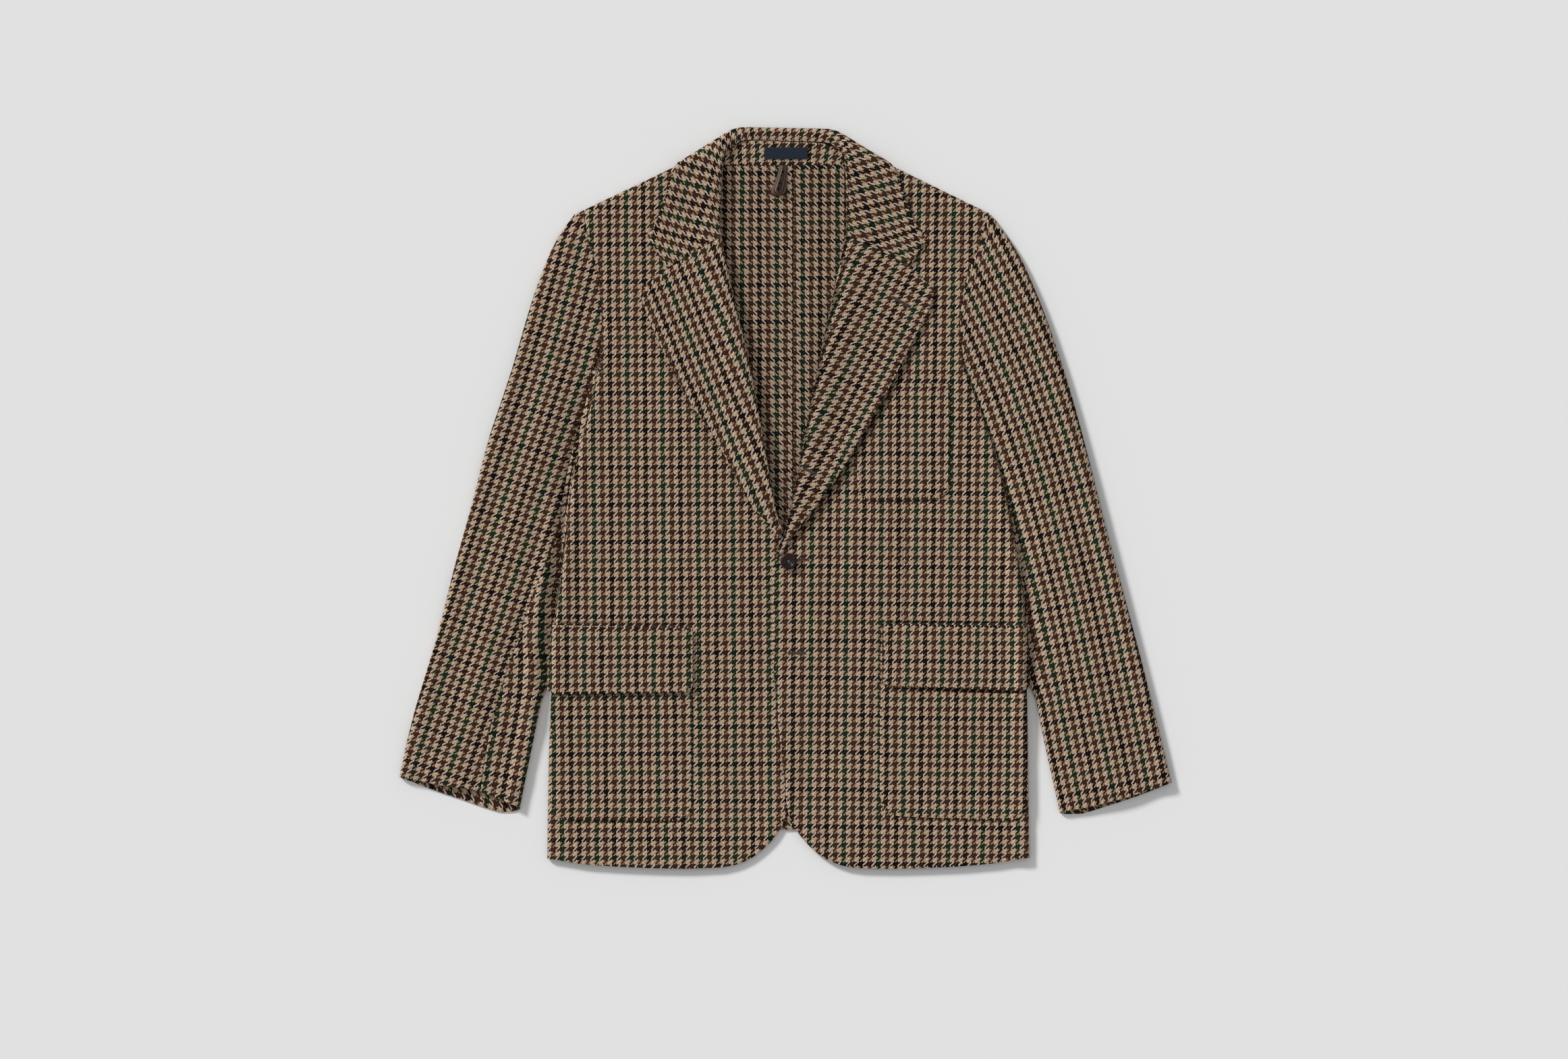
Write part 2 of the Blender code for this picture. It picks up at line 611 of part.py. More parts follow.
def make_back(side, mat):
    sign = SIDE_SIGN[side]
    spot, along, across = shoulder_frame(side)
    # The shoulder seam lies under the jacket, below the front's turned edge.
    foot = spot - across * (FOLD_REACH + SHOULDER_TURN + SEAM)
    rows = []
    for y in SIDE_KNOTS:
        if y < ARMPIT - SEAM:
            rows.append((y, body_edge(side, y) - FOLD_REACH - SIDE_TURN - SEAM))
    turned = body_edge(side, ARMPIT) - FOLD_REACH - SIDE_TURN - SEAM
    rows.append((ARMPIT + SEAM, turned))
    rows.append((ARMPIT + 3 * SEAM, body_edge(side, ARMPIT)))
    rows += [(y, body_edge(side, y)) for y in ARMHOLE_KNOTS[1:-1] if y < foot.y - CLOTH]
    rows.append((foot.y, body_edge(side, foot.y)))
    for y in spread([foot.y, LIFT_START, NECK_SEAM], [1, 4])[1:]:
        rows.append((y, abs(foot.x + along.x * (y - foot.y) / along.y)))
    grid = []
    for row, (y, outer) in enumerate(rows):
        line = []
        for c in range(BACK_COLUMNS + 1):
            x = blend(BACK_SEAM_X + sign * SEAM / 2, sign * outer, c / BACK_COLUMNS)
            height = y
            if row == 0:
                arch = max(0.0, 1.0 - (x / BACK_HEM_HALF) ** 2)
                height = blend(BACK_HEM_SIDE, BACK_HEM_MIDDLE, arch)
            line.append(back_surface(x, height))
        grid.append(line)
    return wall("back_" + side, grid, CLOTH, mat)


# ---------------------------------------------------------------- fronts

def front_inner(side, y):
    """Edge of a front: it stops short of the roll line to leave room for the roll."""
    roll = ROLL_LINE[side]
    if y > roll[-1].height:
        return column(NECK_EDGE[side], "x", y, "height")
    table = roll if y > roll[0].height else FRONT_EDGE[side]
    inset = ROLL_RADIUS[side] + DOUBLED / 2 + ROLL_ROOM
    inset *= ramp((y - roll[0].height) / ROLL_ROOM_LENGTH + 1.0)
    return column(table, "x", y, "height") + SIDE_SIGN[side] * inset


def make_front(side, mat):
    sign = SIDE_SIGN[side]
    neck = FRONT_NECK[side]
    spot, along, across = shoulder_frame(side)
    top_inner = Vector((neck.x, neck.y)) - across * FOLD_REACH
    hem = Path(FRONT_HEM[side])
    shares = spread(FRONT_COLUMN_SHARES, FRONT_COLUMNS)
    last = len(shares) - 1
    inner_heights, outer_heights = stop_heights("inner"), stop_heights("outer")
    grid = []
    first = None
    for y_in, y_out in zip(inner_heights, outer_heights):
        below = y_out <= ARMPIT
        start = Vector((front_inner(side, y_in), y_in))
        if y_in == inner_heights[-1]:
            start = top_inner
        reach = body_edge(side, y_out) - (FOLD_REACH if below else 0.0)
        end = Vector((sign * reach, y_out))
        if first is None:
            first = (start, end)
        fade = max(0.0, 1.0 - (y_in - inner_heights[0]) / HEM_FADE) ** 2
        line = []
        for u in shares:
            plan = start.lerp(end, u)
            plan += (hem.at(u) - first[0].lerp(first[1], u)) * fade
            line.append(Vector((plan.x, plan.y, front_height(side, plan.x, plan.y))))
        if below:
            turn = math.pi * FOLD_RADIUS
            edge = line[last]
            fold = body_edge(side, edge.y) - FOLD_REACH
            for past in spread([0.0, turn, turn + SIDE_TURN], [FOLD_STEPS, 1])[1:]:
                line.append(front_point(side, sign * (fold + past), edge.y))
        else:
            line += [None] * (FOLD_STEPS + 1)
        grid.append(line)
    # The shoulder: rows past the last one go over the fold and lie under it.
    base = grid[-1][:last + 1]
    for past in spread([0.0, 1.0, 2.0], [FOLD_STEPS, 1])[1:]:
        line = []
        for point in base:
            bottom = BACK_MID + collar_lift(point.x, point.y)
            turn = math.pi * (point.z - bottom) / 2
            distance = past * turn if past <= 1.0 else turn + (past - 1.0) * SHOULDER_TURN
            plan = Vector((point.x, point.y))
            line.append(fold_over(distance, plan, across, point.z, bottom))
        grid.append(line + [None] * (FOLD_STEPS + 1))
    return wall("front_" + side, grid, CLOTH, mat)


# ---------------------------------------------------------------- lapels

def lapel_roll(side, v, y):
    """The half round of a lapel's roll, and the centre it lies about."""
    table = ROLL_LINE[side]
    roll = Vector((column(table, "x", y, "height"), y))
    step = 4.0
    ahead = column(table, "x", y + step, "height")
    behind = column(table, "x", y - step, "height")
    tangent = Vector((ahead - behind, 2 * step)).normalized()
    out = Vector((tangent.y, -tangent.x)) * SIDE_SIGN[side]
    radius = blend(DOUBLED / 2 + SEAM, ROLL_RADIUS[side], ramp(v / LAPEL_OPEN))
    centre = roll + out * (radius + DOUBLED / 2)
    low = front_height(side, centre.x, centre.y)
    points = []
    for k in range(ROLL_STEPS + 1):
        turn = math.pi * (k / ROLL_STEPS - 0.5)
        plan = centre - out * (radius * math.cos(turn))
        points.append(Vector((plan.x, plan.y, low + radius + radius * math.sin(turn))))
    return points, centre


def make_lapel(side, mat):
    """A lapel from inside its roll out over the front, with the gorge at its top."""
    roll_table, edge_table = ROLL_LINE[side], LAPEL_EDGE[side]
    gorge_start, notch, peak = roll_table[-1], NOTCH[side], edge_table[-1]
    top_edge = (Spot(gorge_start.x, gorge_start.height), notch, Spot(peak.x, peak.height))
    top_ends = [Vector((spot.x, spot.y)) for spot in (top_edge[0], top_edge[-1])]
    grid = []
    for k in range(LAPEL_ROWS + 1):
        v = k / LAPEL_ROWS
        line, centre = lapel_roll(side, v, blend(roll_table[0].height, gorge_start.height, v))
        crest = line[-1].z
        y_edge = blend(edge_table[0].height, peak.height, v)
        edge = Vector((column(edge_table, "x", y_edge, "height"), y_edge))
        proud = blend(1.0, LAPEL_TOP_PROUD, ramp((v - LAPEL_BEND) / (1.0 - LAPEL_BEND)))
        proud *= LAPEL_PROUD[side] * ramp(v / LAPEL_RISE)
        bend = max(0.0, (v - LAPEL_BEND) / (1.0 - LAPEL_BEND)) ** 2
        for c in range(1, LAPEL_COLUMNS + 1):
            u = c / LAPEL_COLUMNS
            plan = centre.lerp(edge, u)
            plan += (corner_path(top_edge, u) - top_ends[0].lerp(top_ends[1], u)) * bend
            rest = front_height(side, plan.x, plan.y) + CLOTH / 2 + SEAM + DOUBLED / 2
            line.append(Vector((plan.x, plan.y, blend(crest, rest + proud, ramp(u)))))
        grid.append(line)
    return wall("lapel_" + side, grid, DOUBLED, mat)


# ---------------------------------------------------------------- collar

def collar_reach(centre, out, top):
    """Distance from the roll's centre to the centre of the turn behind the neck.

    The collar's outline is the top edge, with a slanted edge down to each shoulder.
    """
    radius = (top - COLLAR_BACK_MID) / 2
    left, right = COLLAR_CORNER["left"], COLLAR_CORNER["right"]
    edges = ((COLLAR_TURN["left"], left), (left, right), (right, COLLAR_TURN["right"]))
    reach = math.inf
    for a, b in edges:
        along = Vector((b.x - a.x, b.y - a.y)).normalized()
        normal = Vector((-along.y, along.x))
        facing = out.dot(normal)
        if facing > 0.0:
            room = (Vector((a.x, a.y)) - centre).dot(normal) - radius - DOUBLED / 2
            reach = min(reach, room / facing)
    return max(0.0, reach)


def collar_station(place, marks):
    """All columns of the collar table at a distance along its roll."""
    rows = COLLAR_STATIONS
    values = [monotone(marks, [getattr(row, n) for row in rows], place) for n in Station._fields]
    return Station(*values)


def collar_inside(row, centre, out):
    """Points from the free edge inside the neck up to the crest of the roll."""
    start = math.radians(row.roll_start)
    arc = row.radius * (math.pi / 2 - start)
    foot = centre - out * (row.radius * math.cos(start))
    foot_z = row.crest - row.radius + row.radius * math.sin(start)
    points = []
    for distance in spread([row.strip + arc, 0.0], [COLLAR_INSIDE_COLUMNS]):
        if distance > arc:
            past = distance - arc
            plan = foot - out * (past * math.sin(start))
            points.append(Vector((plan.x, plan.y, foot_z - past * math.cos(start))))
        else:
            turn = math.pi / 2 - distance / row.radius
            plan = centre - out * (row.radius * math.cos(turn))
            z = row.crest - row.radius + row.radius * math.sin(turn)
            points.append(Vector((plan.x, plan.y, z)))
    return points


def make_collar_fall(mat):
    """The collar's fall, rolled round the neck and turned under behind the shoulders."""
    stations = COLLAR_STATIONS
    marks = [0.0]
    for a, b in zip(stations, stations[1:]):
        marks.append(marks[-1] + math.hypot(b.x - a.x, b.y - a.y))
    grid = []
    for place in spread(marks, COLLAR_ROWS):
        row = collar_station(place, marks)
        heading = math.radians(row.heading)
        out = Vector((math.cos(heading), math.sin(heading)))
        centre = Vector((row.x, row.y))
        side = "left" if row.x < 0.0 else "right"
        line = collar_inside(row, centre, out)
        true_reach = collar_reach(centre, out, row.outer)
        reach = min(true_reach, COLLAR_FLAT_SHARE * row.length)
        turn_length = math.pi * (row.outer - COLLAR_BACK_MID) / 2
        second = reach + min(turn_length, (row.length - reach) * COLLAR_TURN_SHARE)
        end_share = max(0.0, 1.0 - min(place, marks[-1] - place) / marks[1]) ** 2
        for distance in spread([0.0, reach, second, row.length], COLLAR_FALL_COLUMNS)[1:]:
            if distance > true_reach:
                edge = centre + out * true_reach
                line.append(fold_over(distance - true_reach, edge, out, row.outer,
                                      COLLAR_BACK_MID))
                continue
            plan = centre + out * distance
            rest = row.outer
            if abs(plan.x) > COLLAR_ON_FRONT:
                clear = CLOTH / 2 + SEAM + DOUBLED / 2 + COLLAR_PROUD
                rest = max(rest, front_height(side, plan.x, plan.y) + clear)
            z = blend(row.crest, rest, ramp(distance / reach))
            if end_share > 0.0:
                # The end of the collar follows the gorge seam and the notch.
                share = distance / row.length
                first = stations[0] if side == "left" else stations[-1]
                point, notch = COLLAR_POINT[side], COLLAR_NOTCH[side]
                straight = Vector((first.x, first.y)).lerp(Vector((point.x, point.y)), share)
                bent = corner_path((Spot(first.x, first.y), notch, point), share)
                plan += (bent - straight) * end_share
            line.append(Vector((plan.x, plan.y, z)))
        grid.append(line)
    return wall("collar_fall", grid, DOUBLED, mat)


def stand_surface(x, y):
    share = (y - NECK_SEAM) / (STAND_TOP - NECK_SEAM)
    fade = ramp((abs(x) - STAND_RISE_END) / STAND_RISE_FADE)
    top = blend(STAND_MID["top"], STAND_MID["seam"], fade)
    return Vector((x, y, blend(STAND_MID["seam"], top, ramp(share))))


def make_collar_stand(mat):
    grid = []
    for r in range(STAND_ROWS + 1):
        line = []
        for c in range(STAND_COLUMNS + 1):
            across = blend(-STAND_HALF_WIDTH, STAND_HALF_WIDTH, c / STAND_COLUMNS)
            x = across + STAND_MIDDLE
            drop = STAND_DROP * ramp((abs(x) - STAND_DROP_START) / STAND_DROP_LENGTH)
            top = STAND_TOP - SEAM - drop + STAND_SLANT * x
            line.append(stand_surface(x, blend(NECK_SEAM + SEAM, top, r / STAND_ROWS)))
        grid.append(line)
    return wall("collar_stand", grid, CLOTH, mat)


# ---------------------------------------------------------------- sleeves

def sleeve_inner(side, y):
    """Inner outline of a sleeve: the armhole, the body's side, then its own edge."""
    if y > ARMPIT:
        return SIDE_SIGN[side] * (body_edge(side, y) + SEAM)
    if y > SLEEVE_ROOM[0].height:
        room = column(SLEEVE_ROOM, "room", y, "height")
        return SIDE_SIGN[side] * (body_edge(side, y) + room)
    return column(SLEEVE_INNER[side], "x", y, "height")


class SleeveRow:
    """One section across a flattened sleeve, from its inner to its outer outline."""

    def __init__(self, side, inner_y, outer_y):
        self.side = side
        self.inner = Vector((sleeve_inner(side, inner_y), inner_y))
        self.outer = Vector((column(SLEEVE_OUTER[side], "x", outer_y, "height"), outer_y))
        self.below = inner_y <= ARMPIT
        self.width = (self.outer - self.inner).length
        # An open armhole edge has no fold, so its layers reach the outline itself.
        self.start = FOLD_REACH if self.below else 0.0
        self.flat = self.width - FOLD_REACH - self.start
        cuff_y = SLEEVE_INNER[side][-1].height
        self.fade = max(0.0, 1.0 - (inner_y - cuff_y) / CUFF_FADE) ** 2
        ends = (SLEEVE_INNER[side][-1], SLEEVE_OUTER[side][-1])
        self.cuff_ends = [Vector((e.x, e.height)) for e in ends]
        self.cuffs = (Path(CUFF_TOP[side]), Path(CUFF_BOTTOM[side]))
        self.seams = [column(SLEEVE_SEAMS[side], n, inner_y, "height") for n in ("front", "hind")]

    def place(self, distance, z):
        """Point at a plan distance from the inner outline and a mid height."""
        a = distance / self.width
        low = (FRONT_MID - z) / (FRONT_MID - BACK_MID)
        plan = self.inner.lerp(self.outer, a)
        if self.fade > 0.0:
            cuff = self.cuffs[0].at(a).lerp(self.cuffs[1].at(a), low)
            plan += (cuff - self.cuff_ends[0].lerp(self.cuff_ends[1], a)) * self.fade
        height = z + creases(SLEEVE_CREASES, plan.x, plan.y) * ramp((1.0 - low) * 2.0 - 1.0)
        return Vector((plan.x, plan.y, height))

    def layer(self, top, shares):
        z = FRONT_MID if top else BACK_MID
        return [self.place(self.start + self.flat * share, z) for share in shares]

    def fold(self, at_outer, downward, steps):
        """Points inside a fold, without its two ends."""
        points = []
        for k in range(1, steps):
            turn = math.pi * k / steps
            rise = math.cos(turn) if downward else -math.cos(turn)
            out = FOLD_RADIUS * math.sin(turn)
            distance = self.width - FOLD_REACH + out if at_outer else FOLD_REACH - out
            points.append(self.place(distance, BACK_MID + FOLD_RADIUS * (1.0 + rise)))
        return points


def sleeve_rows(side):
    """Sections from the shoulder to the cuff, on the armhole's knots above the armpit."""
    cuff = SLEEVE_INNER[side][-1].height
    inner = [SLEEVE_TOP] + [y for y in reversed(ARMHOLE_KNOTS) if y < SLEEVE_TOP]
    inner += spread([ARMPIT, cuff], [SLEEVE_ROWS_BELOW])[1:]
    return [SleeveRow(side, y, column(SLEEVE_ROW_ENDS, side, y, "inner")) for y in inner]


def make_sleeve(side, mat):
    """A topsleeve round the outer fold and an undersleeve below it.

    Pieces that go round the inner fold do so only below the armpit, where there is one.
    """
    steps = FOLD_STEPS
    on_top = SLEEVE_SEAM_LAYER[side] == "top"
    tops, unders = [], []
    for row in sleeve_rows(side):
        front, hind = row.seams
        gap = SEAM / 2 / row.flat
        seam = front + gap if row.below and on_top else 0.0
        over = row.layer(True, spread([seam, 1.0], [6]))
        over += row.fold(True, True, steps) + row.layer(False, [1.0, hind + gap])
        if on_top:
            tops.append(over)
            under = row.layer(False, spread([hind - gap, 0.0], [5]))
            if row.below:
                under += row.fold(False, False, steps) + row.layer(True, [0.0, front - gap])
            else:
                under += [None] * (steps + 1)
            unders.append(under)
        else:
            if row.below:
                lead = row.layer(False, [front - gap, 0.0]) + row.fold(False, False, steps)
            else:
                lead = [None] * (steps + 1)
            tops.append(lead + over)
            inner = front + gap if row.below else 0.0
            unders.append(row.layer(False, spread([hind - gap, inner], [5])))
    return [wall("sleeve_%s_top" % side, tops, CLOTH, mat),
            wall("sleeve_%s_under" % side, unders, CLOTH, mat)]


# ---------------------------------------------------------------- pockets and flaps

def make_patch(name, side, patch, below, thickness, mat, counts, stand_off=0.0):
    """A patch laid on a front: its points are the front's own, moved out.

    The lower corners are rounded. below is the height of what it lies on above the
    front's outer face, and stand_off lifts the lower edge.
    """
    sign = SIDE_SIGN[side]
    radius = patch.radius
    columns, rows = counts

    def surface(x, y):
        return front_point(side, x, y)

    def outer(y):
        if patch.outer is not None:
            return patch.outer
        return body_edge(side, y) - FOLD_REACH + patch.wrap

    width = outer((patch.top_outer + patch.low_outer) / 2) - patch.inner
    corner = [radius * (1.0 - math.cos(a)) for a in (0.0, math.pi / 6, math.pi / 3)]
    inside = spread([radius, width - radius], [columns])
    places = corner + inside + [width - c for c in reversed(corner)]
    grid = []
    for r in range(rows + 1):
        v = r / rows
        line = []
        for place in places:
            share = place / width
            top = blend(patch.top_inner, patch.top_outer, share)
            low = blend(patch.low_inner, patch.low_outer, share)
            nearest = min(place, width - place)
            if nearest < radius:
                low += radius - math.sqrt(radius ** 2 - (radius - nearest) ** 2)
            y = blend(low, top, v)
            x = sign * blend(patch.inner, outer(y), share)
            lift = CLOTH / 2 + below + SEAM + thickness / 2 + stand_off * (1.0 - v) ** 2
            line.append(lifted(surface, x, y, lift))
        grid.append(line)
    return wall(name, grid, thickness, mat)


# ---------------------------------------------------------------- trims

def make_label(mat):
    grid = []
    for r in range(2):
        line = []
        for c in range(LABEL_COLUMNS + 1):
            x = blend(LABEL.inner, LABEL.outer, c / LABEL_COLUMNS)
            y = blend(LABEL.low_inner, LABEL.top_inner, r)
            point = lifted(stand_surface, x, y, CLOTH / 2 + SEAM + LABEL_WALL / 2)
            line.append(point)
        grid.append(line)
    return wall("neck_label", grid, LABEL_WALL, mat)


def make_loop(mat):
    """A ribbon from the neck seam down, round its foot and back, standing like a cup."""
    foot = Vector((LOOP_FOOT.x, LOOP_FOOT.y))
    left = foot + Vector((-LOOP_FOOT_RADIUS, 0.0))
    right = foot + Vector((LOOP_FOOT_RADIUS, 0.0))
    top = Vector((LOOP_TOP.x, LOOP_TOP.y))
    half = Vector((LOOP_TOP_HALF, 0.0))
    strand = [k / LOOP_STRAND_STEPS for k in range(LOOP_STRAND_STEPS + 1)]
    route = [(top - half).lerp(left, share) for share in strand[:-1]]
    for k in range(LOOP_FOOT_STEPS + 1):
        angle = math.pi * (1.0 + k / LOOP_FOOT_STEPS)
        route.append(foot + Vector((math.cos(angle), math.sin(angle))) * LOOP_FOOT_RADIUS)
    route += [right.lerp(top + half, share) for share in strand[1:]]
    at_seam, at_strand, at_foot = [math.radians(slope) for slope in LOOP_SLOPES]
    last = len(route) - 1
    grid = []
    for k, place in enumerate(route):
        ahead, behind = route[min(k + 1, last)], route[max(k - 1, 0)]
        tangent = (ahead - behind).normalized()
        out = Vector((tangent.y, -tangent.x))
        from_seam = 2.0 * min(k, last - k) / last
        slope = blend(at_seam, at_strand, ramp(2.0 * from_seam))
        slope = blend(slope, at_foot, ramp(2.0 * from_seam - 1.0))
        floor = back_surface(place.x, place.y).z + CLOTH / 2 + SEAM
        base = floor + RIBBON_WALL / 2
        line = []
        for share in (0.0, 0.5, 1.0):
            along = RIBBON_WIDTH * share
            plan = place + out * (along * math.cos(slope))
            line.append(Vector((plan.x, plan.y, base + along * math.sin(slope))))
        grid.append(line)
    return wall("hanger_loop", grid, RIBBON_WALL, mat)


def make_button(mat):
    """A turned button with a raised rim and a dished middle, on its thread shank."""
    base = front_height("right", BUTTON_PLACE.x, BUTTON_PLACE.y) + CLOTH / 2 + SEAM
    profile = [(0.0, 0.0), (SHANK_RADIUS, 0.0), (SHANK_RADIUS, SHANK_HEIGHT)]
    for ring in BUTTON_RINGS:
        distance = max(0.0, BUTTON_DIAMETER / 2 - ring.inset)
        profile.append((distance, SHANK_HEIGHT + ring.height))
    mesh = bmesh.new()
    rings = []
    for distance, height in profile:
        count = BUTTON_STEPS if distance > 0.0 else 1
        loop = []
        for k in range(count):
            angle = 2 * math.pi * k / count
            place = Vector((BUTTON_PLACE.x + distance * math.cos(angle),
                            BUTTON_PLACE.y + distance * math.sin(angle), base + height))
            loop.append(mesh.verts.new(place * MM))
        rings.append(loop)
    for lower, upper in zip(rings, rings[1:]):
        for k in range(BUTTON_STEPS):
            n = (k + 1) % BUTTON_STEPS
            if len(lower) == 1:
                mesh.faces.new([lower[0], upper[k], upper[n]])
            elif len(upper) == 1:
                mesh.faces.new([lower[k], lower[n], upper[0]])
            else:
                mesh.faces.new([lower[k], lower[n], upper[n], upper[k]])
    bmesh.ops.recalc_face_normals(mesh, faces=mesh.faces[:])
    return finish("front_button", mesh, mat)


# ---------------------------------------------------------------- the jacket

def clear_scene():
    for item in list(bpy.data.objects):
        bpy.data.objects.remove(item, do_unlink=True)


def make_jacket():
    tweed = material("tweed", (0.16, 0.11, 0.08), 0.95)
    navy = material("navy_label", (0.011, 0.016, 0.031), 0.8)
    ribbon = material("brown_ribbon", (0.11, 0.06, 0.035), 0.6)
    horn = material("dark_horn", (0.03, 0.012, 0.01), 0.35)
    for side in ("left", "right"):
        make_back(side, tweed)
        make_front(side, tweed)
        make_lapel(side, tweed)
        make_sleeve(side, tweed)
        make_patch("hip_pocket_" + side, side, HIP_POCKET[side], 0.0, PATCH, tweed, (6, 7))
        make_patch("hip_flap_" + side, side, HIP_FLAP[side], PATCH + 2 * SEAM, FLAP, tweed,
                   (6, 3), stand_off=FLAP_STAND_OFF)
    make_patch("chest_pocket", "right", CHEST_POCKET, 0.0, PATCH, tweed, (4, 5))
    make_collar_fall(tweed)
    make_collar_stand(tweed)
    make_label(navy)
    make_loop(ribbon)
    make_button(horn)


clear_scene()
make_jacket()
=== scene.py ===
"""Looks of a soft tweed jacket that lies flat on a pale floor.

Each cloth piece is a thin shell on the outer face of its solid. The face is flattened
into cloth coordinates, cut into a fine even mesh, laid back on the solid's form, and
given its creases. The tweed is drawn thread by thread in those cloth coordinates.
Lengths in the tables are millimetres; the frame itself is in metres.
"""
import math
import random
from collections import namedtuple

import bmesh
import bpy
import numpy as np
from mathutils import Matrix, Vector
from mathutils.bvhtree import BVHTree
from mathutils.geometry import barycentric_transform, delaunay_2d_cdt
from mathutils.kdtree import KDTree


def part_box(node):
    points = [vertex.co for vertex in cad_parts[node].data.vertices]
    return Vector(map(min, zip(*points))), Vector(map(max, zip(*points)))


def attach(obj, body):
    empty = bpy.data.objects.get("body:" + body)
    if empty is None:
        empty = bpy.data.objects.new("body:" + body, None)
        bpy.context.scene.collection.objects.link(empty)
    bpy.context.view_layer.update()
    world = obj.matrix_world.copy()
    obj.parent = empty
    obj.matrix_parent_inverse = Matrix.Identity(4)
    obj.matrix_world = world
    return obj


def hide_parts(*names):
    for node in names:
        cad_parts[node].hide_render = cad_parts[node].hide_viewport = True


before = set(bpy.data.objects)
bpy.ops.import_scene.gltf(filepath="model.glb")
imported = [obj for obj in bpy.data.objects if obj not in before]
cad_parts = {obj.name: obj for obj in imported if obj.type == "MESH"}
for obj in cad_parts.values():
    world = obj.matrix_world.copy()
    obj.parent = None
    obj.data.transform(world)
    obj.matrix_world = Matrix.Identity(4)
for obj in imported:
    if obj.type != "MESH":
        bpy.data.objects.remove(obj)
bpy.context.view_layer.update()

MM = 0.001
random.seed(7)

# -------- sizes

# Threads of the tweed: widths, threads in a light or dark band, and bands in a repeat.
WARP_THREAD = 9.57 / 8
WEFT_THREAD = 10.25 / 8
BAND = 4
BANDS_IN_REPEAT = 4

# Spacing of the shells' points: on flat cloth, where it turns, and along edges.
FINE, FOLD_FINE, EDGE_FINE = ((3.4, 1.3, 2.4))
SMOOTH_ROUNDS, SMOOTH_STEP = 4, 0.5
# Corners of an outline sharper than this stay; the others are rounded, in some rounds.
SHARP = math.radians(32.0)
EDGE_ROUNDS = 6
# Inner points keep this share of the edge's spacing from the edge.
EDGE_MARGIN = 0.45
# A face whose way in is longer than this many wall thicknesses is on a rim.
RIM_DEPTH = 1.5
SHEET_TURN = math.radians(70.0)
WELD = 0.02 * MM
TINY, LEAST_AREA = 1e-9, 1e-12
# How level a face is that isn't on a turn, that takes its grain from the plan, and that
# counts, beside the most level one, for where the flat piece lies.
FLAT, LEVEL, NEAR_LEVEL = 0.985, 0.97, 0.9
NEIGHBOURS = 6
LEVEL_PIECES = ("back", "front", "hip", "chest", "lapel")
BEVEL = 0.45
HARD_ANGLE = math.radians(50.0)

# Each cloth piece: lean of its warp from +y in degrees, anticlockwise; shift of the
# pattern; size it was cut to, and flat area in square metres; wall of the solid and of
# the shell; how far the shell lies below the solid's face at its top and at its foot;
# whether the inside is what is seen from above.
Cloth = namedtuple("Cloth", "lean shift_u shift_v width length area solid wall sink_top "
                            "sink_foot inside", defaults=(1.8, 1.7, 0.0, 0.0, False))
CLOTHS = {
    "back_left": Cloth(0.0, -2.2, -1.5, 0.262, 0.792, 0.164, inside=True),
    "back_right": Cloth(0.0, -11.9, -8.9, 0.248, 0.770, 0.153, inside=True),
    "front_left": Cloth(0.5, -11.2, -6.6, 0.305, 0.786, 0.181),
    "front_right": Cloth(-0.5, -22.5, 21.4, 0.309, 0.785, 0.182),
    "lapel_left": Cloth(22.0, 0.3, 8.7, 0.158, 0.339, 0.0229, 2.4, 2.2),
    "lapel_right": Cloth(-25.7, 7.8, 6.2, 0.172, 0.361, 0.0252, 2.4, 2.2),
    "collar_fall": Cloth(0.0, -11.9, -5.2, 0.454, 0.090, 0.0252, 2.4, 2.2),
    "collar_stand": Cloth(0.0, 0.0, 0.0, 0.162, 0.028, 0.0035, 1.8, 1.6),
    "sleeve_left_top": Cloth(-18.0, -3.4, -18.4, 0.259, 0.640, 0.0700),
    "sleeve_left_under": Cloth(-5.0, -3.4, -18.4, 0.253, 0.640, 0.0673),
    "sleeve_right_top": Cloth(15.6, 4.6, 21.9, 0.276, 0.675, 0.0933),
    "sleeve_right_under": Cloth(5.0, 4.6, 21.9, 0.210, 0.656, 0.0428, inside=True),
    "chest_pocket": Cloth(0.0, -21.9, 20.7, 0.103, 0.130, 0.0130, 1.6, 0.8, 0.8, 0.8),
    "hip_pocket_left": Cloth(0.5, -2.8, 22.4, 0.160, 0.209, 0.0323, 1.6, 0.8, 0.8, 0.8),
    "hip_pocket_right": Cloth(-0.5, -11.0, -17.2, 0.164, 0.212, 0.0333, 1.6, 0.8, 0.8, 0.8),
    "hip_flap_left": Cloth(0.5, 0.7, -3.0, 0.163, 0.076, 0.0117, 2.0, 1.2, 1.4, 1.0),
    "hip_flap_right": Cloth(-0.5, -14.2, 2.1, 0.168, 0.075, 0.0114, 2.0, 1.2, 1.4, 1.0),
    "neck_label": Cloth(0.0, 0.0, 0.0, 0.048, 0.013, 0.00060, 0.8, 0.5),
}

# Where the body's sides meet the sleeves: height, left side, right side, and the room
# beside the solid sleeves that the cloth fills.
SIDES = np.array((
    (-230, 259.5, 267.3, 4.0), (-203, 258.6, 266.9, 4.2), (-150, 255.6, 264.6, 4.2),
    (-128, 253.0, 263.6, 4.2), (-105, 250.0, 262.3, 0.9), (-40, 242.0, 251.4, 0.8),
    (40, 231.2, 234.7, 0.7), (138, 208.0, 201.0, 0.7), (165, 202.0, 194.0, 0.7))).T
CLOSE_WIDTH = 14.0
CLOSE_FADE_LOW, CLOSE_FADE_TOP = 30.0, 14.0
# The sleeves' heads reach up to the points of the shoulders: place, reach and width.
HEAD_X, HEAD_Y = 229.0, 305.0
HEAD_SHIFT = (-3.5, 5.5)
HEAD_WIDTH = 16.0

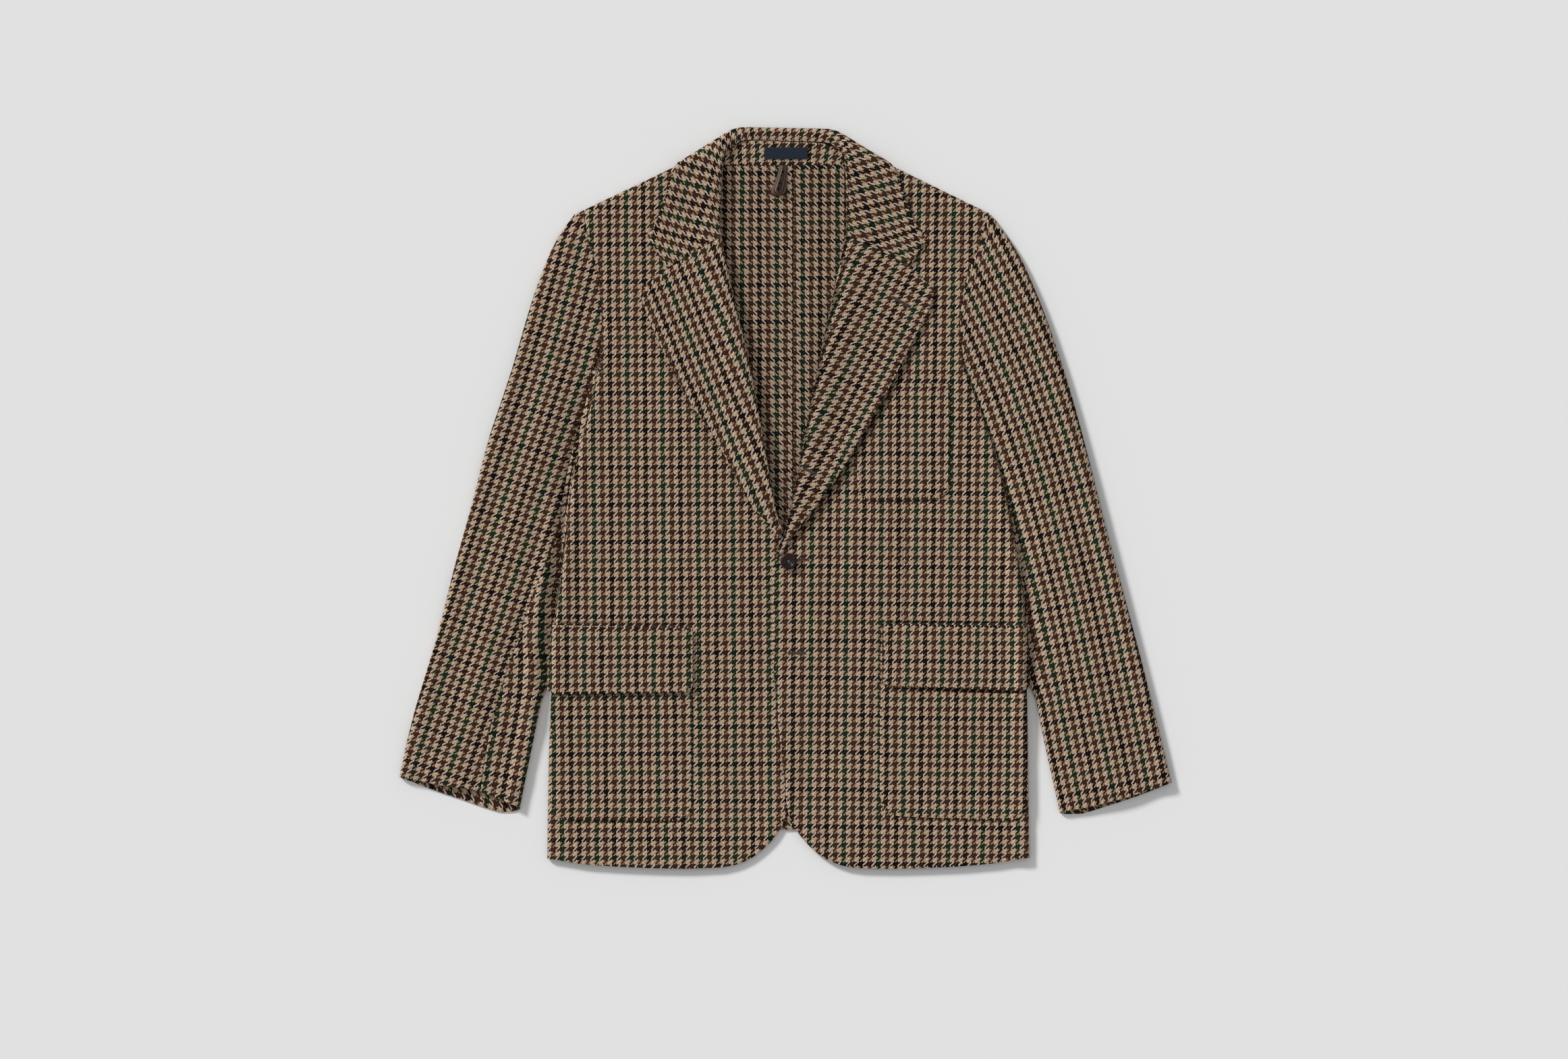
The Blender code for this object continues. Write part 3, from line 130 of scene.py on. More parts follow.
# Folds of the cloth: route, half width, height of a ridge or depth of a trough, and the
# start, or starts, of the names of the pieces that it is in.
Fold = namedtuple("Fold", "route width height only", defaults=("",))
OUTER = ((205, 330), (228, 296), (258, 250), (278, 200), (309, 100), (338, 0), (364, -100),
         (390, -200), (416, -300), (446, -420))
FOLDS = (
    Fold(((32, -230), (30, -320), (24, -390)), 20, -1.6),
    Fold(((-107, -60), (-102, -130), (-92, -200)), 13, -1.4),
    Fold(((-77, 120), (-80, 50), (-86, -30)), 18, -1.2),
    Fold(((262, 110), (285, 52), (300, -47)), 15, -1.6),
    Fold(((-262, 205), (-281, 150), (-301, 8)), 14, -1.4),
    Fold(((-330, -110), (-361, -196), (-366, -260)), 13, -1.2),
    # The rolled edges of the fronts stand up.
    Fold(((-88, 330), (-76, 250), (-42, 110), (-12, -30)), 20, 4.6),
    Fold(((84, 330), (76, 250), (40, 110), (8, -40)), 18, 3.4),
    # The sleeves sink beside the body, in a deep crease along its full, turned sides.
    Fold(((-203.5, 176), (-212, 138), (-235.2, 40), (-246, -40), (-254, -105), (-259.6, -150),
         (-262.6, -203), (-263.5, -270)), 5.6, -4.6, "sleeve"),
    Fold(((195.5, 176), (204.5, 138), (238.2, 40), (254.9, -40), (265.8, -105), (268.6, -150),
         (270.9, -203), (271.5, -270)), 5.6, -4.6, "sleeve"),
    Fold(((-212, 170), (-244, 20), (-256, -60), (-268, -140), (-274, -270)), 15, -2.8,
         "sleeve"),
    Fold(((206, 170), (246, 20), (262, -60), (276, -140), (282, -270)), 13, -2, "sleeve"),
    Fold(((-190, 200), (-204, 138), (-226, 40), (-237, -40), (-250, -150), (-254, -290)), 10,
         2.6, ("front", "hip")),
    Fold(((182, 200), (196, 138), (229, 40), (245, -40), (258, -130), (260, -200)), 9, 1.8,
         "front"),
    # Above the free cuffs the sleeves and the side stand fuller, and the creases deeper.
    Fold(((-249, 30), (-262, -60), (-273, -130), (-277.5, -180), (-281, -270)), 9, 6.8,
         "sleeve"),
    Fold(((238, 20), (247.5, -50), (257.5, -120), (259.5, -160), (261, -280)), 8.5, 6.2,
         ("front", "hip")),
    # The sleeves are fuller along their middle, up to their open cuffs.
    Fold(((-230, 310), (-262, 180), (-292, 0), (-330, -160), (-365, -310), (-392, -430)), 34,
         4.2, "sleeve"),
    Fold(((230, 310), (262, 180), (297, 0), (333, -160), (367, -310), (394, -430)), 34, 4.6,
         "sleeve"),
    # Narrow gaps beside the edges that lie on other cloth: right lapel, flaps, pockets.
    Fold(((148.3, 185), (130.3, 150), (113.8, 120), (97.1, 90), (79.4, 60), (62.1, 30),
         (40.7, 0), (19.6, -30), (5, -52)), 3.9, -4.6, ("front", "chest")),
    Fold(((145, 180), (93, 90), (57, 30), (36, 0), (10, -40)), 6, 0.8, "lapel_right"),
    Fold(((-152, 190), (-131, 150), (-96.5, 90), (-60, 30), (-44, 0), (-24, -28)), 2.4, -2,
         "front"),
    Fold(((-290, -214.2), (-263, -214.4), (-182, -216.2), (-102, -216), (-96, -216)), 2.2, -3,
         ("front", "hip_pocket")),
    Fold(((101, -206.5), (108.8, -207), (190, -211), (268, -214), (300, -215)), 2.2, -3,
         ("front", "hip_pocket")),
    Fold(((-290, -138.8), (-258, -139.2), (-102, -140.2), (-94, -140.2)), 1.8, -1.8, "front"),
    Fold(((98, -138), (106, -138), (268, -138.6), (300, -139)), 1.8, -1.8, "front"),
    Fold(((-101.6, -120), (-101.6, -216), (-101.8, -300), (-104, -370)), 1.8, -0.2, "front"),
    Fold(((103.2, -120), (103.2, -216), (103.6, -300), (110, -370)), 1.8, -0.6, "front"),
    Fold(((-268, -357.6), (-180, -357.8), (-100, -357)), 1.8, -1.4, "front"),
    Fold(((100, -357), (180, -357.8), (270, -357.6)), 1.8, -1.4, "front"),
    Fold(((74, -3.8), (130, -3.9), (186, -3.6)), 1.8, -0.7, "front"),
    Fold(((182.2, -12), (182.2, 60), (182, 134)), 1.8, -0.6, "front"),
    # The turned edges are full: outer sides of the sleeves, shoulder, side and hem.
    Fold(OUTER, 11, 4.6, "sleeve"),
    Fold(tuple((-x, y) for x, y in OUTER), 11, 2.6, "sleeve"),
    Fold(((-268, -190), (-281, -240), (-293, -300), (-308, -380)), 9, 3.6, "sleeve"),
    Fold(((258, -160), (260, -240), (261, -320), (261, -460)), 9, 3.4),
    Fold(((60, 380), (104, 353), (160, 325), (222, 297), (260, 280)), 9, 3, "front"),
    # Darts.
    Fold(((-146.8, 44.3), (-131.1, 8.6), (-130.4, -40.6), (-128.1, -67.4), (-128, -150)), 1.8,
         -0.9, "front"),
    Fold(((130.4, -3.4), (131.1, -31.7), (131.5, -90), (131, -148)), 1.8, -0.9, "front"),
)
# The lowest cloth lifts off the floor in soft folds, which show on the underside.
LIFTS = (
    Fold(((-40, -70), (-110, -150), (-200, -215)), 16, 1.3),
    Fold(((60, -20), (125, -110), (215, -175)), 14, 1.1),
    Fold(((-160, 170), (-125, 70), (-112, -30)), 13, 1),
    Fold(((165, 190), (142, 85), (155, -10)), 15, 1.2),
    Fold(((25, -240), (12, -320), (-10, -400)), 18, 1.3),
    Fold(((-150, -290), (-160, -345), (-180, -400)), 13, 0.9),
    Fold(((-200, 262), (-145, 232), (-98, 222)), 12, 1),
    Fold(((108, 216), (150, 232), (204, 258)), 13, 0.9),
    Fold(((-268, 60), (-300, 10), (-345, -15)), 11, 1.3),
    Fold(((-310, -110), (-345, -175), (-368, -250)), 12, 1),
    Fold(((272, 75), (308, 20), (350, 0)), 11, 1.2),
    Fold(((322, -90), (350, -170), (388, -235)), 13, 1.1),
)
LIFT_TOP, LIFT_FADE = 3.0, 1.1
# Folds this narrow get a closer mesh, out to this many times their width, and steeper
# sides and ends than soft folds.
NARROW, NARROW_REACH = 4.0, 1.8
STEEP, SOFT = 3.0, 2.0
END_STEEP, END_SOFT = 0.25, 0.8
# The most that troughs take, and heights from which folds rise to their full size.
DEEPEST = -4.6
RIDGE_FLOOR, RIDGE_FADE = 2.4, 3.0
TROUGH_FLOOR, TROUGH_FADE = 1.6, 5.0
# The rolled edges lean over the opening: route, and lean at full height.
ROLLS = (
    (((-84, 400), (-88, 330), (-76, 250), (-42, 110), (-10, -40)), 4),
    (((80, 400), (84, 330), (76, 250), (40, 110), (6, -50)), -4.5),
)
ROLL_WIDTH = 14.0
ROLL_FLOOR, ROLL_FADE = 4.5, 7.0
# How far the sleeves' sides reach in under the sides of the body.
SIDE_LAP = 1.6

# Weave: how far a thread rises where it floats, how round it is, how much the warp
# covers the weft and the dark yarns the light ones, heights between which a gap between
# threads gets its painted shade, and the tone of that painted shade.
FLOAT_RISE = 0.5
THREAD_ROUND = 0.6
WARP_FACED = 0.08
DARK_FULLER = 0.54
GAP_LOW, GAP_HIGH = 0.35, 1.0
GAP_SHADE_TONE = 0.35
# Wandering of the threads: its length in millimetres and its reach in threads.
WANDERS = ((1.1, 1.1), (30.0, 1.4))
# Length of a hair, least tone and its spread over hairs and over threads, how many
# threads long one tone of a warp is, and a step that parts the wefts' tones from it.
HAIR = 0.8
HAIR_LEAST, HAIR_SPREAD = 0.15, 1.7
THREAD_LEAST, THREAD_SPREAD = 0.85, 0.30
TONE_LENGTH, TONE_APART = 3.0, 37.0
# Relief of threads and hairs, its strength, and its height in millimetres.
THREAD_RELIEF, HAIR_RELIEF = 0.5, 0.6
RELIEF_STRENGTH, RELIEF_HEIGHT = 0.5, 0.30
SHEEN, SHEEN_ROUGHNESS = 0.02, 0.5
# The cloth's reverse, seen from above on the inside pieces, is drawn a little darker.
REVERSE_TONE = 0.86
# Painted shade on the right rolled edge: faces near its turn that face the opening get a much
# darker copy of the tweed.
ROLL_SHADE_TONE = 0.34
TURN_REACH, TURN_FACING = 15.0, -0.14

# Colours of the yarns, linear.
LIGHT_WARP = (0.555, 0.445, 0.355)
LIGHT_WEFT = (0.45, 0.295, 0.175)
DARK_WARPS = ((0.005, 0.022, 0.011), (0.048, 0.020, 0.012), (0.007, 0.004, 0.004),
              (0.048, 0.020, 0.012))
DARK_WEFTS = ((0.020, 0.022, 0.010), (0.032, 0.014, 0.009), (0.006, 0.004, 0.004),
              (0.032, 0.014, 0.009))

# Roughness and specular level of each material.
SHINE = {"tweed": (0.95, 0.03), "label": (0.8, 0.2), "ribbon": (0.55, 0.3),
         "thread": (0.6, 0.5), "horn": (0.34, 0.22), "floor": (0.9, 0.0)}

# Label: spacing of its twill, length of its fuzz, how much each of them lightens it,
# relief, and colours.
LABEL_TWILL, LABEL_FUZZ = 0.9, 0.6
TWILL_SHARE, FUZZ_SHARE = 0.6, 0.5
LABEL_STRENGTH, LABEL_HEIGHT = 0.4, 0.15
LABEL_DARK = (0.006, 0.010, 0.020)
LABEL_LIGHT = (0.018, 0.028, 0.046)

# Ribbon of the hanger loop: its lower and upper edge, from the left of the seam round to
# the right, stripes by their share of the way across, and its cross ribs.
LOOP_OUTER = (
    (-6.9, 366.4, 4.0), (-10.4, 354.3, 3.4), (-14.6, 343.1, 3.0), (-17.0, 337.9, 2.9),
    (-15.8, 334.2, 2.8), (-10.4, 332.6, 2.8), (-3.6, 333.8, 2.8), (1.2, 336.4, 2.9),
    (2.6, 344.6, 3.0), (3.5, 355.7, 3.4), (3.6, 366.4, 4.0))
LOOP_INNER = (
    (-2.0, 366.4, 7.4), (-4.2, 357.0, 8.2), (-6.2, 349.6, 8.8), (-7.9, 343.4, 9.2),
    (-8.7, 340.2, 9.4), (-7.9, 338.4, 9.4), (-6.6, 338.6, 9.4), (-5.6, 341.4, 9.2),
    (-3.9, 348.6, 8.8), (-1.9, 357.6, 8.2), (-1.4, 366.4, 7.4))
LOOP_STEPS, LOOP_ACROSS = 90, 8
LOOP_BULGE = 0.5
LOOP_WALL = 0.5
LOOP_WIDTH, LOOP_LENGTH, LOOP_AREA = 0.010, 0.080, 0.00062
RIBBON_BROWN = (0.066, 0.032, 0.018)
RIBBON_PALE = (0.23, 0.17, 0.13)
RIBBON_DARK = (0.014, 0.007, 0.006)
RIBBON_STRIPES = (
    (-0.1, 0.07, RIBBON_DARK), (0.30, 0.37, RIBBON_PALE), (0.50, 0.57, RIBBON_DARK),
    (0.66, 0.72, RIBBON_PALE), (0.90, 1.1, RIBBON_DARK))
RIBBON_RIB, RIB_LEAST, RIB_SPREAD = 0.55, 0.7, 0.5

# Trims are dropped on to the cloth from this height, in metres.
ABOVE_ALL = 0.06

# Stitches along the collar's stand.
STAND_LINE = ((-62.0, 394.6), (58.0, 391.2))
STAND_STITCH, STAND_THREAD = 2.6, 0.2
STAND_LIFTS = ((0.12, 0.0), (0.5, 0.2), (0.88, 0.0))
# Stitches at the label's corners: how far in, spacing, and places with their lift.
LABEL_IN_X, LABEL_IN_Y, LABEL_STEP, LABEL_THREAD = 1.2, 1.0, 0.9, 0.17
LABEL_LIFTS = ((0.0, -0.5, 0.1), (0.3, 0.0, 0.25), (0.6, 0.5, 0.1))

# Buttonholes: from the eye to the closed end.
HOLES = {
    "hole_button": ((9.0, -68.6), (25.0, -68.4)),
    "hole_lower": ((4.4, -171.4), (21.8, -171.4)),
    "hole_lapel": ((137.0, 210.6), (118.6, 220.8)),
    "hole_roll": ((32.6, 26.2), (22.8, 31.2)),
}
EYE_RADIUS, EYE_STEPS, EYE_GAP = 1.15, 10, 25.0
SLIT_HALF, OPENING_LIFT = 0.42, 0.06
# Its stitches: spacing, length, and share of the length with the lift off the cloth.
HOLE_THREAD, HOLE_STITCH = 0.21, 0.62
STITCH_LENGTH, STITCH_SPREAD = 1.15, (0.85, 1.15)
STITCH_LIFTS = ((0.0, 0.05), (0.45, 0.32), (1.0, 0.0))
# The bar across its closed end: places along the slit, and across it with their lift.
BAR_STEPS = (0.25, 0.60, 0.95)
BAR_LIFTS = ((-1.3, 0.1), (0.0, 0.35), (1.3, 0.1))

# Sewing threads: share of their thickness at their ends, length and tone of their specks,
# and their colours, with the near-black of the painted-shade sheet in a buttonhole's slit.
TUBE_END = 0.35
THREAD_FUZZ, SPECK_TONE = 0.5, 0.5
THREADS = {
    # The button's thread is paler than its own colour, partly as a painted highlight at the
    # button's middle.
    "hole_thread": (0.120, 0.078, 0.056), "button_thread_and_highlight": (0.16, 0.11, 0.09),
    "label_thread": (0.02, 0.03, 0.05), "pale_thread": (0.42, 0.34, 0.27),
    "painted_shade_opening": (0.004, 0.003, 0.003)}

# Button: radius and height of its profile, from its foot over the rim to the dished middle.
BUTTON_PROFILE = (
    (6.4, 0.0), (7.8, 0.35), (8.7, 1.0), (9.1, 1.8), (9.0, 2.4), (8.5, 2.95), (7.7, 3.3),
    (6.9, 3.4), (6.1, 3.2), (5.4, 2.8), (5.0, 2.45), (4.7, 2.45), (4.3, 2.75), (3.9, 2.7),
    (3.4, 2.2), (3.0, 1.85))
BUTTON_TOP, BUTTON_SIDES = 3.4, 56
# Its holes: their ring and the first one's place on it, size, depth, sides, and the share
# of the size within which the dish has no faces.
HOLE_RING, HOLE_TURN = 1.55, math.radians(65.0)
HOLE_SIZE, HOLE_DEPTH, HOLE_SIDES, HOLE_CLEAR = 0.75, 1.4, 10, 0.97
# Its threads: thickness, how far a pair is apart, and heights over the dish.
BUTTON_THREAD, THREAD_APART, THREAD_HEIGHTS = 0.26, 0.25, (-0.5, 0.25, -0.5)
SHANK_RING, SHANK_THREADS, SHANK_THREAD, SHANK_FOOT, SHANK_HEAD = 1.1, 8, 0.5, -0.2, 0.3
HORN_BAND, HORN_START, HORN_STEEP = 7.0, 0.35, 3.0
HORN_DARK = (0.009, 0.004, 0.004)
HORN_RED = (0.026, 0.010, 0.009)


def blend(a, b, t):
    return a + (b - a) * t


def rows(points):
    return np.array([tuple(p) for p in points])


def ramps(values):
    """Soft steps from 0 to 1."""
    values = np.clip(values, 0.0, 1.0)
    return values * values * (3.0 - 2.0 * values)


def put(name, data):
    """A new object in the scene."""
    thing = bpy.data.objects.new(name, data)
    bpy.context.scene.collection.objects.link(thing)
    return thing


# -------- shells

def wall_faces(node, thickness):
    """The two faces of a cloth wall, without its rims, as lists of BMesh faces."""
    mesh = bmesh.new()
    mesh.from_mesh(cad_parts[node].data)
    bmesh.ops.remove_doubles(mesh, verts=mesh.verts, dist=WELD)
    bmesh.ops.triangulate(mesh, faces=mesh.faces[:])
    mesh.faces.ensure_lookup_table()
    tree = BVHTree.FromBMesh(mesh)
    seen = set()
    for face in mesh.faces:
        # From a rim, the way in through the cloth is longer than the wall is thick.
        start = face.calc_center_median() - face.normal * WELD
        depth = tree.ray_cast(start, -face.normal)[3]
        if depth is None or depth > RIM_DEPTH * thickness * MM:
            seen.add(face.index)
    sheets = []
    for start in mesh.faces:
        if start.index in seen:
            continue
        seen.add(start.index)
        sheet, queue = [], [start]
        while queue:
            face = queue.pop()
            sheet.append(face)
            for edge in face.edges:
                for other in edge.link_faces:
                    turn = face.normal.angle(other.normal, 0.0)
                    if other.index not in seen and turn < SHEET_TURN:
                        seen.add(other.index)
                        queue.append(other)
        sheets.append(sheet)
    sheets.sort(key=lambda sheet: -sum(f.calc_area() for f in sheet))
    return mesh, sheets[:2]


def outer_face(node):
    """The face of a wall that is worked on, as points and triangles."""
    cloth = CLOTHS[node]
    mesh, sheets = wall_faces(node, cloth.solid)
    if cloth.inside:
        sheet = max(sheets, key=lambda sheet: sum(f.normal.z * f.calc_area() for f in sheet))
    else:
        sheet = max(sheets, key=lambda sheet: max(v.co.z for f in sheet for v in f.verts))
    names, points = {}, []
    for v in (v for face in sheet for v in face.verts):
        if v.index not in names:
            names[v.index] = len(points)
            points.append(v.co.copy())
    faces = [[names[v.index] for v in face.verts] for face in sheet]
    mesh.free()
    return points, faces


def face_normals(spots, faces):
    """Normals of triangles, each twice as long as its triangle is large."""
    a, b, c = (spots[k] for k in np.array(faces).T)
    return np.cross(b - a, c - a)


def total_area(spots, faces):
    return np.linalg.norm(face_normals(spots, faces), axis=1).sum() / 2


def flatten(node, points, faces):
    """Cloth coordinates of a face's points, in metres, laid as it is seen from above."""
    data = bpy.data.meshes.new(node + "_flat")
    data.from_pydata([tuple(p) for p in points], [], faces)
    data.uv_layers.new(name="flat")
    thing = put(node + "_flat", data)
    bpy.context.view_layer.objects.active = thing
    thing.select_set(True)
    bpy.ops.object.mode_set(mode="EDIT")
    bpy.ops.mesh.select_all(action="SELECT")
    bpy.ops.uv.unwrap(method="MINIMUM_STRETCH", fill_holes=False, correct_aspect=False,
                      margin=0.0)
    bpy.ops.object.mode_set(mode="OBJECT")
    flat = np.zeros((len(points), 2))
    for loop, uv in zip(data.loops, data.uv_layers["flat"].uv):
        flat[loop.vertex_index] = uv.vector
    weights = np.zeros(len(points))
    most = max(face.normal.z for face in data.polygons)
    for face in data.polygons:
        if face.normal.z > NEAR_LEVEL * most:
            for v in face.vertices:
                weights[v] += face.area
    bpy.data.objects.remove(thing)
    bpy.data.meshes.remove(data)
    spots = rows(points)
    plan = spots[:, :2]
    w = (weights / weights.sum())[:, None]
    flat_mid, plan_mid = (flat * w).sum(0), (plan * w).sum(0)
    a, b = flat - flat_mid, plan - plan_mid
    # Turned to lie on its own plan, at the cloth's real size.
    across = (w * a * b).sum()
    turn = (w[:, 0] * (a[:, 0] * b[:, 1] - a[:, 1] * b[:, 0])).sum()
    spread = total_area(np.pad(flat, ((0, 0), (0, 1))), faces)
    k = math.sqrt(total_area(spots, faces) / spread) / math.hypot(across, turn)
    c, s = across * k, turn * k
    return a @ np.array([[c, s], [-s, c]]) + plan_mid


def outline(faces):
    """Boundary loops of a set of triangles, as lists of point numbers."""
    edges = dict.fromkeys(
        edge for a, b, c in faces for edge in ((a, b), (b, c), (c, a)))
    following = {a: b for a, b in edges if (b, a) not in edges}
    loops = []
    while following:
        start, here = next(iter(following.items()))
        loop = [start]
        del following[start]
        while here != start:
            loop.append(here)
            here = following.pop(here)
        loops.append(loop)
    return loops


def refine_loop(loop, flat):
    """Points along a closed outline, close together, with soft corners rounded."""
    corners = [Vector(flat[k]) for k in loop]
    count = len(corners)
    keep, dense = [], []
    for k, corner in enumerate(corners):
        ahead = corners[(k + 1) % count] - corner
        behind = corner - corners[k - 1]
        sharp = ahead.angle(behind, 0.0) > SHARP
        steps = max(1, round(ahead.length / (EDGE_FINE * MM)))
        for n in range(steps):
            dense.append(corner + ahead * (n / steps))
            keep.append(sharp and n == 0)
    total = len(dense)
    for _ in range(EDGE_ROUNDS):
        smooth = []
        for k in range(total):
            middle = (dense[k - 1] + dense[(k + 1) % total]) / 2
            smooth.append(dense[k] if keep[k] else dense[k].lerp(middle, 0.5))
        dense = smooth
    return dense


def cut_cloth(node):
    """Fine mesh of a piece: places on the solid, and flattened places, by triangle."""
    points, faces = outer_face(node)
    flat = flatten(node, points, faces)
    ring = rows(refine_loop(max(outline(faces), key=len), flat))
    low, high = ring.min(0), ring.max(0)
    tree = BVHTree.FromPolygons([Vector((*p, 0.0)) for p in flat], faces)
    normals = face_normals(rows(points), faces)
    level = np.abs(normals[:, 2]) > FLAT * np.linalg.norm(normals, axis=1)
    # Even lattice, closer where the cloth turns.
    lattice = []
    step = FINE * MM
    grid = [(x, y) for y in np.arange(low[1] + step / 2, high[1], step)
            for x in np.arange(low[0] + step / 2, high[0], step)]
    part = max(1, round(FINE / FOLD_FINE))
    offsets = [((k + 0.5) / part - 0.5) * step for k in range(part)]
    for (x, y), close in zip(grid, by_narrow(node, np.array(grid))):
        _, _, face, distance = tree.find_nearest((x, y, 0.0))
        if distance > step:
            continue
        if level[face] and not close:
            lattice.append((x, y))
        else:
            lattice.extend((x + i, y + j) for i in offsets for j in offsets)
    lattice = np.array(lattice)
    lattice = lattice[inside_many(lattice, ring)]
    lattice = lattice[far_from(lattice, ring, EDGE_MARGIN * EDGE_FINE * MM)]
    count = len(ring)
    verts = [Vector(p) for p in ring] + [Vector(p) for p in lattice]
    edges = [(k, (k + 1) % count) for k in range(count)]
    out = delaunay_2d_cdt(verts, edges, [], 1, TINY)
    flats, tris = out[0], out[2]
    places = []
    for p in flats:
        spot = Vector((*p, 0.0))
        corners = faces[tree.find_nearest(spot)[2]]
        places.append(barycentric_transform(
            spot, *(Vector((*flat[k], 0.0)) for k in corners), *(points[k] for k in corners)))
    return places, [Vector(p) for p in flats], tris


def by_narrow(node, grid):
    """Which places in plan are close to a narrow fold of this piece."""
    close = np.zeros(len(grid), bool)
    for fold in FOLDS:
        if fold.width <= NARROW and node.startswith(fold.only):
            away, _ = route_spots(*(grid / MM).T, fold.route)
            close |= away < FINE / 2 + fold.width * NARROW_REACH
    return close


def inside_many(lattice, ring):
    """Which of many plane points are inside a closed outline."""
    good = np.zeros(len(lattice), bool)
    px, py = lattice.T
    for (x0, y0), (x1, y1) in zip(ring, np.roll(ring, -1, axis=0)):
        if y0 == y1:
            continue
        hit = (y0 > py) != (y1 > py)
        cross = x0 + (py - y0) / (y1 - y0) * (x1 - x0)
        good ^= hit & (cross > px)
    return good


def far_from(lattice, ring, distance):
    """Which of many plane points keep a distance from an outline's points."""
    good = np.ones(len(lattice), bool)
    for spot in ring:
        good &= ((lattice - spot) ** 2).sum(1) > distance ** 2
    return good


def smooth_turns(places, tris):
    """Round off the solid's facets: each inner point moves towards its neighbours."""
    spots = rows(places)
    tris = np.array(tris)
    pairs = np.vstack([tris[:, (0, 1)], tris[:, (1, 2)], tris[:, (2, 0)]])
    both = np.vstack([pairs, pairs[:, ::-1]])
    codes, times = np.unique(np.sort(pairs, axis=1), axis=0, return_counts=True)
    fixed = np.zeros(len(spots), bool)
    fixed[codes[times == 1].ravel()] = True
    degree = np.bincount(both[:, 0], minlength=len(spots))[:, None]
    for _ in range(SMOOTH_ROUNDS):
        total = np.zeros_like(spots)
        np.add.at(total, both[:, 0], spots[both[:, 1]])
        mean = total / np.maximum(degree, 1)
        spots[~fixed] += SMOOTH_STEP * (mean - spots)[~fixed]
    return spots


def route_spots(x, y, route):
    """How far places lie from a route, and their share of the way along it."""
    best, share, done = np.full_like(x, np.inf), np.zeros_like(x), 0.0
    for (x0, y0), (x1, y1) in zip(route, route[1:]):
        length = math.hypot(x1 - x0, y1 - y0)
        along_x, along_y = (x1 - x0) / length, (y1 - y0) / length
        t = np.clip((x - x0) * along_x + (y - y0) * along_y, 0.0, length)
        away = np.hypot(x - x0 - along_x * t, y - y0 - along_y * t)
        share = np.where(away < best, done + t, share)
        best = np.minimum(best, away)
        done += length
    return best, share / done


def crease(node, spots):
    """Move points, in metres, by the folds, the less the nearer they lie to the floor."""
    x, y, z = (spots / MM).T
    up, down, off_floor = np.zeros_like(x), np.zeros_like(x), np.zeros_like(x)
    for fold in FOLDS + LIFTS:
        if not node.startswith(fold.only):
            continue
        away, share = route_spots(x, y, fold.route)
        power, fade = (STEEP, END_STEEP) if fold.width < NARROW else (SOFT, END_SOFT)
        ends = np.sin(np.clip(share, 0.0, 1.0) * math.pi) ** fade
        total = off_floor if fold in LIFTS else up if fold.height > 0 else down
        total += fold.height * np.exp(-(away / fold.width) ** power) * ends
    off_floor *= np.clip((LIFT_TOP - z) / LIFT_FADE, 0.0, 1.0)
    rise = up * ramps((z - RIDGE_FLOOR) / RIDGE_FADE)
    fall = np.maximum(down, DEEPEST - rise) * np.clip((z - TROUGH_FLOOR) / TROUGH_FADE, 0.0, 1.0)
    lifted = spots.copy()
    lifted[:, 2] += MM * (off_floor + rise + fall)
    if node.startswith(("lapel", "collar_fall")):
        for route, lean in ROLLS:
            away, _ = route_spots(x, y, route)
            lifted[:, 0] += MM * lean * np.exp(-(away / ROLL_WIDTH) ** 2) * ramps(
                (z - ROLL_FLOOR) / ROLL_FADE)
    return lifted


def true_grain(places, flats, tris):
    """Cloth coordinates that are the plan itself where a piece lies flat, face up."""
    spots, flats = rows(places), rows(flats)
    total = np.zeros_like(spots)
    for corner in np.array(tris).T:
        np.add.at(total, corner, face_normals(spots, tris))
    rise = total[:, 2] / np.maximum(np.linalg.norm(total, axis=1), LEAST_AREA)
    level = np.flatnonzero(rise > LEVEL)
    tree = KDTree(len(level))
    for k in level:
        tree.insert((*flats[k], 0.0), int(k))
    tree.balance()
    shifts = spots[:, :2] - flats
    moved = flats.copy()
    moved[level] = spots[level, :2]
    for k in np.flatnonzero(rise <= LEVEL):
        near = [n for _, n, _ in tree.find_n((*flats[k], 0.0), NEIGHBOURS)]
        moved[k] += shifts[near].mean(0)
    return moved


def close_side(node, spots):
    """Bring the inner fold of a sleeve up to the side of the body."""
    x, y, _ = (spots / MM).T
    heights, left, right, room = SIDES
    side, sign = (left, -1.0) if "left" in node else (right, 1.0)
    room = np.interp(y, heights, room)
    away = np.abs(x * sign - np.interp(y, heights, side) - room)
    fade = ramps((y - heights[0]) / CLOSE_FADE_LOW) * ramps(
        (heights[-1] - y) / CLOSE_FADE_TOP)
    moved = spots.copy()
    reach = room + SIDE_LAP
    moved[:, 0] -= sign * MM * reach * np.exp(-(away / CLOSE_WIDTH) ** 2) * fade
    near = np.exp(-((x * sign - HEAD_X) ** 2 + (y - HEAD_Y) ** 2) / HEAD_WIDTH ** 2)
    moved[:, 0] += sign * MM * HEAD_SHIFT[0] * near
    moved[:, 1] += MM * HEAD_SHIFT[1] * near
    return moved


def sink(cloth, spots):
    """Lower a patch towards the cloth that it is sewn to."""
    y = spots[:, 1]
    share = (y.max() - y) / (y.max() - y.min())
    moved = spots.copy()
    moved[:, 2] -= MM * (cloth.sink_top + (cloth.sink_foot - cloth.sink_top) * share)
    return moved


